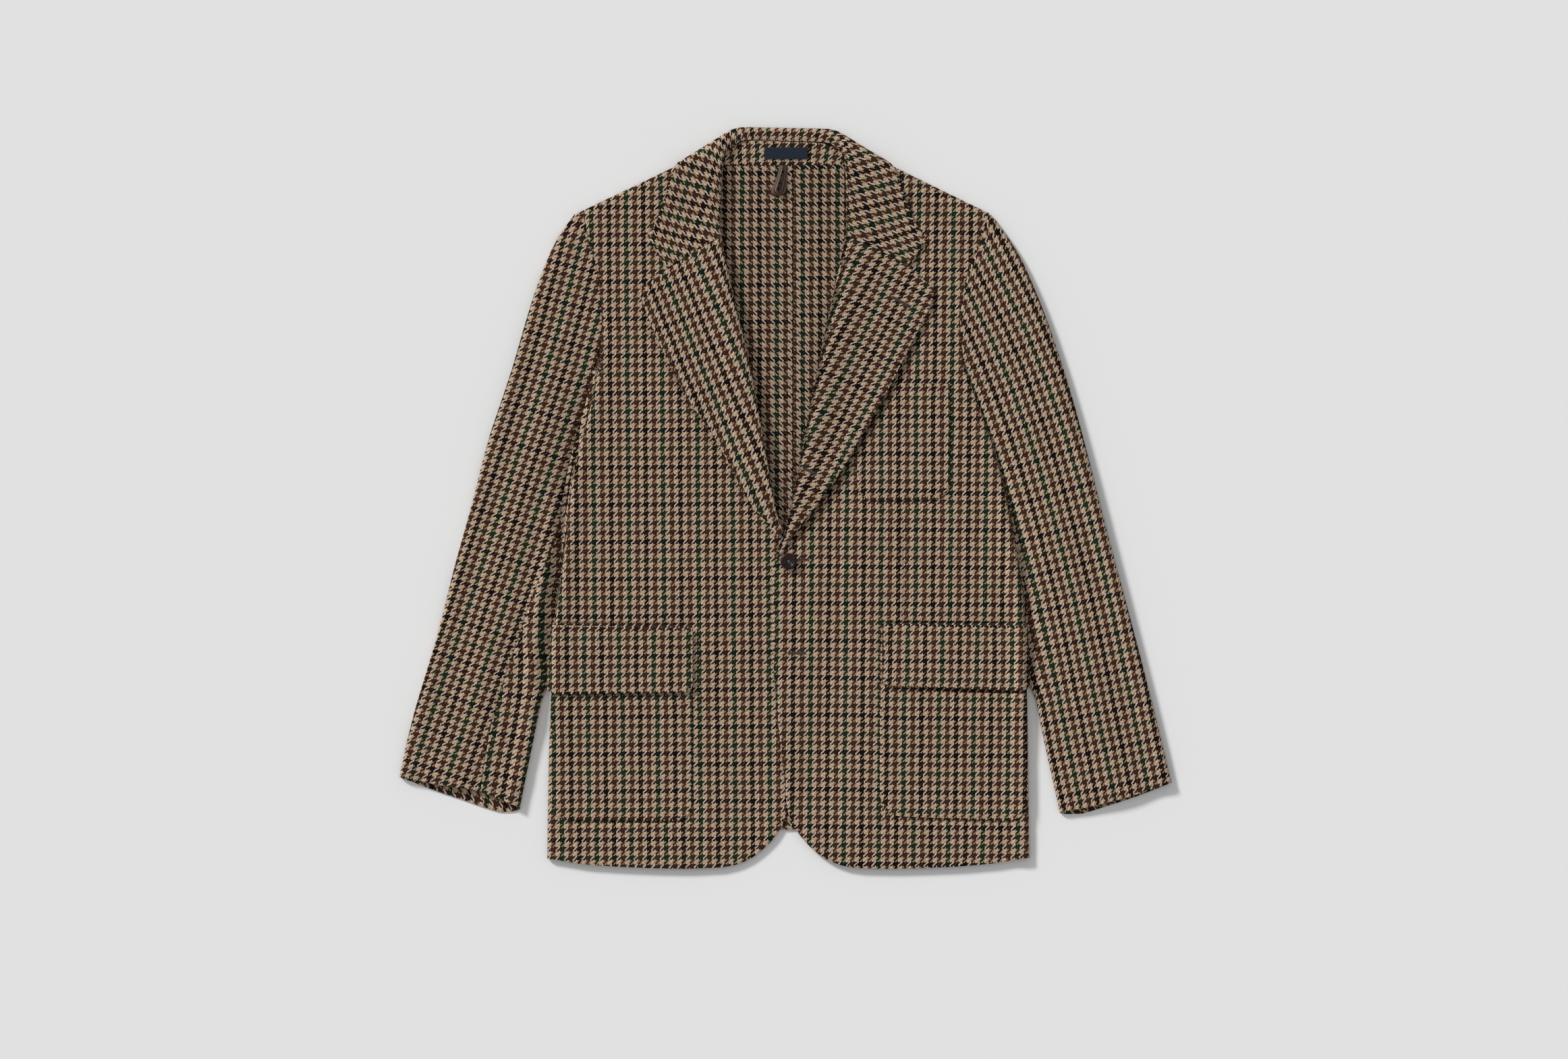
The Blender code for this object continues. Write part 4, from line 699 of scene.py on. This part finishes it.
def make_cloth(node, mat, reverse=None):
    cloth = CLOTHS[node]
    places, flats, tris = cut_cloth(node)
    spots = sink(cloth, smooth_turns(places, tris))
    if node.startswith("sleeve"):
        spots = close_side(node, spots)
    spots = crease(node, spots)
    data = bpy.data.meshes.new(node + "_cloth")
    data.from_pydata([tuple(p) for p in spots], [], [tuple(t) for t in tris])
    data.update()
    if node.startswith(LEVEL_PIECES):
        flats = true_grain(places, flats, tris)
    layer = data.uv_layers.new(name="cloth")
    lean = math.radians(-cloth.lean)
    c, s = math.cos(lean), math.sin(lean)
    side = -1.0 if cloth.inside else 1.0
    for loop, uv in zip(data.loops, layer.uv):
        x, y = flats[loop.vertex_index]
        x *= side
        uv.vector = (c * x - s * y + cloth.shift_u * MM, s * x + c * y + cloth.shift_v * MM)
    data.shade_smooth()
    piece = put(node + "_cloth", data)
    thick = piece.modifiers.new("wall", "SOLIDIFY")
    thick.thickness = cloth.wall * MM
    thick.offset = -1.0
    data.materials.append(reverse if cloth.inside else mat)
    if cloth.inside:
        # What is seen from above is the cloth's reverse; the other face is its right side.
        data.materials.append(mat)
        thick.material_offset = 1
    # Painted shade: faces of the right roll that face the opening take the much darker copy of
    # the tweed.
    if node in ("lapel_right", "collar_fall"):
        data.materials.append(tweed_roll_shade)
        for face in data.polygons:
            away, _ = route_spots(*(np.array([v]) / MM for v in face.center[:2]), ROLLS[1][0])
            if face.normal.x < TURN_FACING and away[0] < TURN_REACH:
                face.material_index = 1
    rim = piece.modifiers.new("rim", "BEVEL")
    rim.limit_method = "ANGLE"
    rim.angle_limit = HARD_ANGLE
    rim.width = BEVEL * MM
    rim.segments = 2
    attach(piece, "root")
    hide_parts(node)
    return piece


# -------- materials

def feed(tree, node, inputs):
    """Link a node's inputs, by name or number, to sockets, or set them to values."""
    for key, value in inputs.items():
        value = value.socket if isinstance(value, Maths) else value
        if isinstance(value, bpy.types.NodeSocket):
            tree.links.new(value, node.inputs[key])
        else:
            value = (*value, 1.0) if isinstance(value, tuple) else value
            node.inputs[key].default_value = value


def method(operation):
    """A method that adds one Math node."""
    return lambda self, *others: self.join(operation, *others)


class Maths:
    """Builds a tree of Math nodes from written sums."""

    def __init__(self, tree, socket):
        self.tree, self.socket = tree, socket

    def join(self, operation, *others, clamp=False):
        node = self.tree.nodes.new("ShaderNodeMath")
        node.operation = operation
        node.use_clamp = clamp
        feed(self.tree, node, dict(enumerate((self, *others))))
        return Maths(self.tree, node.outputs[0])

    def limited(self):
        return self.join("ADD", 0.0, clamp=True)

    __add__, __sub__ = method("ADD"), method("SUBTRACT")
    __mul__, __truediv__ = method("MULTIPLY"), method("DIVIDE")
    less, more, greatest = method("LESS_THAN"), method("GREATER_THAN"), method("MAXIMUM")
    floor, fract, mod = method("FLOOR"), method("FRACT"), method("FLOORED_MODULO")
    sine, power = method("SINE"), method("POWER")


def plain_material(name, kind):
    mat = bpy.data.materials.new(name)
    mat.use_nodes = True
    tree = mat.node_tree
    shader = tree.nodes["Principled BSDF"]
    roughness, specular = SHINE[kind]
    feed(tree, shader, {"Roughness": roughness, "Specular IOR Level": specular})
    return mat, tree, shader


def cloth_places(tree):
    """The cloth coordinates, as one socket and as two numbers, across and along."""
    uv = tree.nodes.new("ShaderNodeUVMap")
    uv.uv_map = "cloth"
    split = tree.nodes.new("ShaderNodeSeparateXYZ")
    feed(tree, split, {0: uv.outputs[0]})
    return uv.outputs[0], Maths(tree, split.outputs[0]), Maths(tree, split.outputs[1])


def noise(tree, vector, length, detail=2.0):
    """Noise with waves of a length in millimetres, as a number and as a colour."""
    node = tree.nodes.new("ShaderNodeTexNoise")
    feed(tree, node, {"Scale": 1.0 / (length * MM), "Detail": detail, "Vector": vector})
    return Maths(tree, node.outputs["Fac"]), node.outputs["Color"]


def object_noise(tree, length, detail=2.0):
    place = tree.nodes.new("ShaderNodeTexCoord").outputs["Object"]
    return noise(tree, place, length, detail)[0]


def mix_colour(tree, factor, a, b):
    node = tree.nodes.new("ShaderNodeMix")
    node.data_type = "RGBA"
    # A Mix node's inputs 6 and 7 are its colours.
    feed(tree, node, {0: factor, 6: a, 7: b})
    return node.outputs[2]


def toned(tree, colour, tone):
    """A colour made lighter or darker."""
    node = tree.nodes.new("ShaderNodeVectorMath")
    node.operation = "SCALE"
    feed(tree, node, {0: colour, "Scale": tone})
    return node.outputs[0]


def add_relief(tree, shader, relief, strength, height):
    bump = tree.nodes.new("ShaderNodeBump")
    feed(tree, bump, {"Strength": strength, "Distance": height * MM, "Height": relief})
    feed(tree, shader, {"Normal": bump.outputs[0]})


def band_colour(tree, index, light, darks):
    """Colour of a thread from its number: light bands, and dark ones in their cycle."""
    dark_number = (index / (2 * BAND)).floor().mod(BANDS_IN_REPEAT)
    colour = darks[0]
    for k in range(1, BANDS_IN_REPEAT):
        colour = mix_colour(tree, dark_number.more(k - 0.5), colour, darks[k])
    is_light = index.mod(2 * BAND).less(BAND - 0.5)
    return mix_colour(tree, is_light, colour, light)


def make_tweed(name, brightness=1.0):
    """Gun-club houndstooth in 2/2 twill, from the cloth coordinates, thread by thread."""
    mat, tree, shader = plain_material(name, "tweed")
    place, across, along = cloth_places(tree)
    u, v = across / (WARP_THREAD * MM), along / (WEFT_THREAD * MM)
    # Hairy yarn: places wander a little, finely and over longer stretches.
    for length, reach in WANDERS:
        parts = tree.nodes.new("ShaderNodeSeparateColor")
        feed(tree, parts, {0: noise(tree, place, length)[1]})
        u = u + (Maths(tree, parts.outputs[0]) - 0.5) * reach
        v = v + (Maths(tree, parts.outputs[1]) - 0.5) * reach
    i, j = u.floor(), v.floor()
    # Heights of the two threads that cross here: the one that is higher is seen.
    round_u = u.fract() * (u.fract() * -4.0 + 4.0)
    round_v = v.fract() * (v.fract() * -4.0 + 4.0)
    warp_height = ((v - i) * (math.pi / 2)).sine() * FLOAT_RISE
    warp_height = warp_height + round_u.power(0.5) * THREAD_ROUND + WARP_FACED
    weft_height = ((j - u + 1.0) * (math.pi / 2)).sine() * -FLOAT_RISE
    weft_height = weft_height + round_v.power(0.5) * THREAD_ROUND
    # The dark yarns are fuller, so they crowd the light ones where they meet.
    warp_height = warp_height + i.mod(2 * BAND).more(BAND - 0.5) * DARK_FULLER
    weft_height = weft_height + j.mod(2 * BAND).more(BAND - 0.5) * DARK_FULLER
    warp_over = weft_height.less(warp_height)
    height = warp_height.greatest(weft_height)
    warp = band_colour(tree, i, LIGHT_WARP, DARK_WARPS)
    weft = band_colour(tree, j, LIGHT_WEFT, DARK_WEFTS)
    colour = mix_colour(tree, warp_over, weft, warp)
    # Each thread's own tone, its hairs, and painted shade in the gaps between threads.
    weft_over = warp_over * -1.0 + 1.0
    spot = tree.nodes.new("ShaderNodeCombineXYZ")
    long_u = (v / TONE_LENGTH).floor() * warp_over + i * weft_over
    feed(tree, spot, {0: long_u + weft_over * TONE_APART, 1: i * warp_over + j * weft_over})
    grain = tree.nodes.new("ShaderNodeTexWhiteNoise")
    grain.noise_dimensions = "2D"
    feed(tree, grain, {"Vector": spot.outputs[0]})
    hairs, _ = noise(tree, place, HAIR, detail=3.0)
    tone = Maths(tree, grain.outputs["Value"]) * THREAD_SPREAD + THREAD_LEAST
    tone = tone * (hairs * HAIR_SPREAD + HAIR_LEAST) * brightness
    # Painted shade: the cloth is darker where the threads sink into the gaps between them.
    deep = ((height - GAP_LOW) / (GAP_HIGH - GAP_LOW)).limited()
    tone = tone * (deep * (1.0 - GAP_SHADE_TONE) + GAP_SHADE_TONE)
    feed(tree, shader, {"Base Color": toned(tree, colour, tone), "Sheen Weight": SHEEN,
                        "Sheen Roughness": SHEEN_ROUGHNESS})
    relief = height * THREAD_RELIEF + hairs * HAIR_RELIEF
    add_relief(tree, shader, relief, RELIEF_STRENGTH, RELIEF_HEIGHT)
    return mat


def make_label_cloth():
    """Plain navy ribbon in a fine twill, with no words on it."""
    mat, tree, shader = plain_material("navy_twill", "label")
    place, across, along = cloth_places(tree)
    rib = ((across + along) * (math.tau / (LABEL_TWILL * MM))).sine() * 0.5 + 0.5
    fuzz, _ = noise(tree, place, LABEL_FUZZ)
    colour = mix_colour(tree, (rib * TWILL_SHARE + fuzz * FUZZ_SHARE).limited(),
                        LABEL_DARK, LABEL_LIGHT)
    feed(tree, shader, {"Base Color": colour})
    add_relief(tree, shader, rib, LABEL_STRENGTH, LABEL_HEIGHT)
    return mat


def make_ribbon():
    """Brown ribbon with pale lines along it."""
    mat, tree, shader = plain_material("striped_ribbon", "ribbon")
    _, across, along = cloth_places(tree)
    colour = RIBBON_BROWN
    for start, end, stripe in RIBBON_STRIPES:
        inside = across.more(start) * across.less(end)
        colour = mix_colour(tree, inside, colour, stripe)
    ribs = (along / MM * (math.tau / RIBBON_RIB)).sine() * 0.5 + 0.5
    feed(tree, shader, {"Base Color": toned(tree, colour, ribs * RIB_SPREAD + RIB_LEAST)})
    return mat


def make_thread(name, colour):
    """Yarn with dark specks; also the near-black sheet of painted shade in a buttonhole's slit.
    """
    mat, tree, shader = plain_material(name, "thread")
    dark = tuple(SPECK_TONE * c for c in colour)
    colour = mix_colour(tree, object_noise(tree, THREAD_FUZZ), dark, colour)
    feed(tree, shader, {"Base Color": colour})
    return mat


def make_horn():
    """Dark polished horn, redder and browner in soft bands."""
    mat, tree, shader = plain_material("dark_horn", "horn")
    bands = object_noise(tree, HORN_BAND, detail=3.0)
    share = ((bands - HORN_START) * HORN_STEEP).limited()
    feed(tree, shader, {"Base Color": mix_colour(tree, share, HORN_DARK, HORN_RED)})
    return mat


tweed = make_tweed("tweed_cloth")
tweed_reverse = make_tweed("tweed_reverse", REVERSE_TONE)
# A much darker copy of the tweed, as painted shade on the right rolled edge.
tweed_roll_shade = make_tweed("tweed_roll_shade", ROLL_SHADE_TONE)


# -------- trims

def surface_over(pieces):
    """A tree of the cloth's outer faces, to set trims on."""
    points, faces = [], []
    for piece in pieces:
        first = len(points)
        points.extend(v.co.copy() for v in piece.data.vertices)
        faces.extend([first + k for k in face.vertices] for face in piece.data.polygons)
    return BVHTree.FromPolygons(points, faces)


def on_cloth(x, y, lift):
    """The place on the uppermost cloth over a place in plan, in millimetres."""
    hit = cloth_tree.ray_cast(Vector((x * MM, y * MM, ABOVE_ALL)), Vector((0.0, 0.0, -1.0)))[0]
    return Vector((x * MM, y * MM, hit.z + lift * MM))


def add_piece(name, data, mat):
    piece = put(name, data)
    data.materials.append(mat)
    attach(piece, "root")
    return piece


def add_mesh(name, mesh, mat, smooth=True):
    """A piece from a finished BMesh."""
    bmesh.ops.recalc_face_normals(mesh, faces=mesh.faces[:])
    data = bpy.data.meshes.new(name)
    mesh.to_mesh(data)
    mesh.free()
    if smooth:
        data.shade_smooth()
    return add_piece(name, data, mat)


def circle(centre, radius, count, start=0.0):
    """Points round a circle in plan."""
    turns = (start + math.tau * n / count for n in range(count))
    return [Vector((centre.x + radius * math.cos(turn), centre.y + radius * math.sin(turn)))
            for turn in turns]


def bridge(mesh, a, b):
    """Faces between two rings of points."""
    for n in range(len(a)):
        after = (n + 1) % len(a)
        mesh.faces.new((a[n], a[after], b[after], b[n]))


def add_tube(mesh, path, radius, sides=6):
    """A round thread through some points, with rounded ends, added to a mesh."""
    path = [Vector(p) for p in path]
    start = path[0] + (path[0] - path[1]).normalized() * radius
    end = path[-1] + (path[-1] - path[-2]).normalized() * radius
    spots = [(start, TUBE_END), *((p, 1.0) for p in path), (end, TUBE_END)]
    rings = []
    for k, (spot, size) in enumerate(spots):
        ahead = spots[min(k + 1, len(spots) - 1)][0] - spots[max(k - 1, 0)][0]
        side = ahead.cross(Vector((0.0, 0.0, 1.0)))
        if side.length < TINY:
            side = Vector((1.0, 0.0, 0.0))
        side.normalize()
        up = side.cross(ahead).normalized()
        turns = [math.tau * n / sides for n in range(sides)]
        ring = [side * math.cos(turn) + up * math.sin(turn) for turn in turns]
        rings.append([mesh.verts.new(spot + offset * radius * size) for offset in ring])
    for a, b in zip(rings, rings[1:]):
        bridge(mesh, a, b)
    mesh.faces.new(rings[0][::-1])
    mesh.faces.new(rings[-1])


def sew(mesh, places, radius):
    """A stitch through places in plan, each with its lift off the cloth."""
    add_tube(mesh, [on_cloth(*place) for place in places], radius * MM, 5)


def make_buttonhole(name, ends):
    """A slit with an eye at its start, whipped all round with close stitches."""
    a, b = (Vector(end) for end in ends)
    length = (b - a).length
    along = (b - a) / length
    across = Vector((-along.y, along.x))
    # Outline of the opening: round the eye, then along the slit on both sides.
    eye = []
    for k in range(EYE_STEPS + 1):
        turn = math.radians(blend(EYE_GAP, 360.0 - EYE_GAP, k / EYE_STEPS))
        eye.append(a + (along * math.cos(turn) + across * math.sin(turn)) * EYE_RADIUS)
    slit = max(2, round(length / HOLE_STITCH))
    upper, lower = ([a + along * blend(EYE_RADIUS, length, k / slit) + across * half
                     for k in range(1, slit + 1)] for half in (SLIT_HALF, -SLIT_HALF))
    opening = upper[::-1] + eye + lower
    threads = bmesh.new()
    for spot in opening:
        if spot in eye:
            way = (spot - a).normalized()
        else:
            way = across if (spot - a).dot(across) > 0.0 else -across
        reach = way * STITCH_LENGTH * random.uniform(*STITCH_SPREAD)
        sew(threads, [(*(spot + reach * share), lift) for share, lift in STITCH_LIFTS],
            HOLE_THREAD)
    for step in BAR_STEPS:
        sew(threads, [(*(b + along * step + across * side), lift) for side, lift in BAR_LIFTS],
            HOLE_THREAD)
    add_mesh(name + "_stitches", threads, hole_thread)
    # A near-black sheet just over the cloth fills the slit: painted shade for the gap.
    dark = bmesh.new()
    dark.faces.new([dark.verts.new(on_cloth(*spot, OPENING_LIFT)) for spot in opening])
    bmesh.ops.triangulate(dark, faces=dark.faces[:])
    add_mesh(name + "_opening", dark, painted_shade_opening, False)


def make_button():
    """Turned horn button with four sewn holes."""
    low, high = (Vector(corner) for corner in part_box("front_button"))
    centre = (low + high) / 2
    base = high.z - BUTTON_TOP * MM
    mesh = bmesh.new()
    rings = [[mesh.verts.new((*p, base + height * MM))
              for p in circle(centre, radius * MM, BUTTON_SIDES)]
             for radius, height in BUTTON_PROFILE]
    for a, b in zip(rings, rings[1:]):
        bridge(mesh, a, b)
    mesh.faces.new(rings[0][::-1])
    # The dished middle, with its holes.
    floor = rings[-1][0].co.z
    holes = circle(centre, HOLE_RING * MM, 4, HOLE_TURN)
    rims = [circle(spot, HOLE_SIZE * MM, HOLE_SIDES) for spot in holes]
    flat, edges = [], []
    for loop in ([v.co.xy for v in rings[-1]], *rims):
        first = len(flat)
        flat.extend(loop)
        edges.extend((first + n, first + (n + 1) % len(loop)) for n in range(len(loop)))
    out = delaunay_2d_cdt(flat, edges, [], 1, TINY)
    made = [mesh.verts.new((*p, floor)) for p in out[0]]
    for tri in out[2]:
        middle = sum((out[0][k] for k in tri), Vector((0.0, 0.0))) / 3
        if all((middle - spot).length > HOLE_SIZE * MM * HOLE_CLEAR for spot in holes):
            mesh.faces.new([made[k] for k in tri])
    for rim in rims:
        top, foot = ([mesh.verts.new((*p, z)) for p in rim]
                     for z in (floor, floor - HOLE_DEPTH * MM))
        bridge(mesh, top, foot)
        mesh.faces.new(foot)
    bmesh.ops.remove_doubles(mesh, verts=mesh.verts, dist=WELD / 2)
    button = add_mesh("button", mesh, make_horn())
    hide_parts("front_button")
    button.modifiers.new("edges", "EDGE_SPLIT").split_angle = HARD_ANGLE
    # Its threads are paler than their own colour, partly as a painted highlight at the button's
    # middle.
    threads = bmesh.new()
    for a, b in ((0, 2), (1, 3), (0, 1), (2, 3)):
        way = (holes[b] - holes[a]).normalized()
        for side in (-THREAD_APART, THREAD_APART):
            across = Vector((-way.y, way.x)) * side * MM
            ends = (holes[a], (holes[a] + holes[b]) / 2, holes[b])
            add_tube(threads, [(*(p + across), floor + height * MM)
                               for p, height in zip(ends, THREAD_HEIGHTS)], BUTTON_THREAD * MM)
    # Its shank of thread, down to the cloth.
    for x, y in circle(centre, SHANK_RING * MM, SHANK_THREADS):
        add_tube(threads, [(x, y, low.z + SHANK_FOOT * MM), (x, y, base + SHANK_HEAD * MM)],
                 SHANK_THREAD * MM)
    add_mesh("button_thread_and_highlight", threads, button_thread_and_highlight)


def along_curve(points, share):
    """A place part of the way along a smooth curve through some points."""
    at = share * (len(points) - 1)
    k = min(int(at), len(points) - 2)
    t = at - k
    p0, p1, p2, p3 = (np.array(points[min(max(k + n, 0), len(points) - 1)])
                      for n in (-1, 0, 1, 2))
    return 0.5 * (2 * p1 + (p2 - p0) * t + (2 * p0 - 5 * p1 + 4 * p2 - p3) * t * t
                  + (3 * p1 - p0 - 3 * p2 + p3) * t * t * t)


def make_loop():
    """The hanger's ribbon: down from the seam, round its foot and back, on its edge."""
    points, uvs = [], []
    for k in range(LOOP_STEPS + 1):
        outer = along_curve(LOOP_OUTER, k / LOOP_STEPS)
        inner = along_curve(LOOP_INNER, k / LOOP_STEPS)
        for n in range(LOOP_ACROSS + 1):
            share = n / LOOP_ACROSS
            x, y, z = outer + (inner - outer) * share
            z += LOOP_BULGE * math.sin(math.pi * share)
            points.append((x * MM, y * MM, z * MM))
            uvs.append((share, k / LOOP_STEPS * LOOP_LENGTH))
    row = LOOP_ACROSS + 1
    faces = [(at, at + row, at + row + 1, at + 1) for k in range(LOOP_STEPS)
             for at in range(k * row, k * row + LOOP_ACROSS)]
    data = bpy.data.meshes.new("hanger_loop_ribbon")
    data.from_pydata(points, [], faces)
    layer = data.uv_layers.new(name="cloth")
    for loop, uv in zip(data.loops, layer.uv):
        uv.vector = uvs[loop.vertex_index]
    data.shade_smooth()
    piece = add_piece("hanger_loop_ribbon", data, make_ribbon())
    wall = piece.modifiers.new("wall", "SOLIDIFY")
    wall.thickness = LOOP_WALL * MM
    wall.offset = -1.0
    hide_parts("hanger_loop")


def make_stand_stitches():
    """A row of fine stitches along the top of the collar's stand."""
    threads = bmesh.new()
    (x0, y0), (x1, y1) = STAND_LINE
    count = int((x1 - x0) / STAND_STITCH)
    for k in range(count):
        sew(threads, [(blend(x0, x1, (k + t) / count), blend(y0, y1, (k + t) / count), lift)
                      for t, lift in STAND_LIFTS], STAND_THREAD)
    add_mesh("stand_stitches", threads, pale_thread)


def make_label_stitches():
    """Small stitches that hold the label at its four corners."""
    low, high = (Vector(corner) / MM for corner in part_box("neck_label"))
    threads = bmesh.new()
    for x, step in ((low.x + LABEL_IN_X, LABEL_STEP), (high.x - LABEL_IN_X, -LABEL_STEP)):
        for y in (low.y + LABEL_IN_Y, high.y - LABEL_IN_Y):
            for k in range(3):
                sew(threads, [(x + step * k + right, y + up, lift)
                              for right, up, lift in LABEL_LIFTS], LABEL_THREAD)
    add_mesh("label_stitches", threads, label_thread)


# -------- stage

# Size of the picture and the middle of the outline in it, in pixels.
PHOTO_WIDTH, PHOTO_HEIGHT = 2324, 1569
MIDDLE_X, MIDDLE_Y = 1164.0, 737.5
MM_PER_PIXEL = 0.745
CAMERA_HEIGHT, CAMERA_REACH = 6.0, 50.0
SENSOR = 36.0
FLOOR, FLOOR_COLOUR = 40.0, (0.80, 0.80, 0.80)
# Light: even fill from all round, and a wide low key from the upper left.
FILL = 0.50
KEY = 3.05
KEY_WIDTH = math.radians(11.0)
KEY_SLOPE = math.radians(27.0)
KEY_WAY = Vector((math.sqrt(0.5), -math.sqrt(0.5), -math.tan(KEY_SLOPE)))


def make_stage():
    data = bpy.data.meshes.new("floor")
    corners = ((-FLOOR, -FLOOR), (FLOOR, -FLOOR), (FLOOR, FLOOR), (-FLOOR, FLOOR))
    data.from_pydata([(x, y, 0.0) for x, y in corners], [], [(0, 1, 2, 3)])
    floor = put("floor", data)
    mat, tree, shader = plain_material("pale_floor", "floor")
    feed(tree, shader, {"Base Color": FLOOR_COLOUR})
    data.materials.append(mat)


def make_camera():
    data = bpy.data.cameras.new("camera")
    data.sensor_fit = "HORIZONTAL"
    data.sensor_width = SENSOR
    width = PHOTO_WIDTH * MM_PER_PIXEL * MM
    data.lens = SENSOR * CAMERA_HEIGHT / width
    data.clip_end = CAMERA_REACH
    camera = put("camera", data)
    shift_x = (PHOTO_WIDTH / 2 - MIDDLE_X) * MM_PER_PIXEL * MM
    shift_y = (MIDDLE_Y - PHOTO_HEIGHT / 2) * MM_PER_PIXEL * MM
    camera.location = (shift_x, shift_y, CAMERA_HEIGHT)
    bpy.context.scene.camera = camera


def make_lights():
    world = bpy.data.worlds.new("studio")
    world.use_nodes = True
    background = world.node_tree.nodes["Background"]
    feed(world.node_tree, background, {"Color": (1.0, 1.0, 1.0), "Strength": FILL})
    bpy.context.scene.world = world
    sun = bpy.data.lights.new("key", "SUN")
    sun.energy = KEY
    sun.angle = KEY_WIDTH
    put("key", sun).rotation_euler = KEY_WAY.to_track_quat("-Z", "Y").to_euler()


hole_thread, button_thread_and_highlight, label_thread, pale_thread, painted_shade_opening = (
    make_thread(name, colour) for name, colour in THREADS.items())
cloths = [make_cloth(name, tweed, tweed_reverse) for name in CLOTHS
          if name != "neck_label"]
cloths.append(make_cloth("neck_label", make_label_cloth()))
make_loop()
cloth_tree = surface_over(cloths)
for name, ends in HOLES.items():
    make_buttonhole(name, ends)
make_button()
make_label_stitches()
make_stand_stitches()
make_stage()
make_camera()
make_lights()
bpy.context.scene.view_settings.view_transform = "Standard"
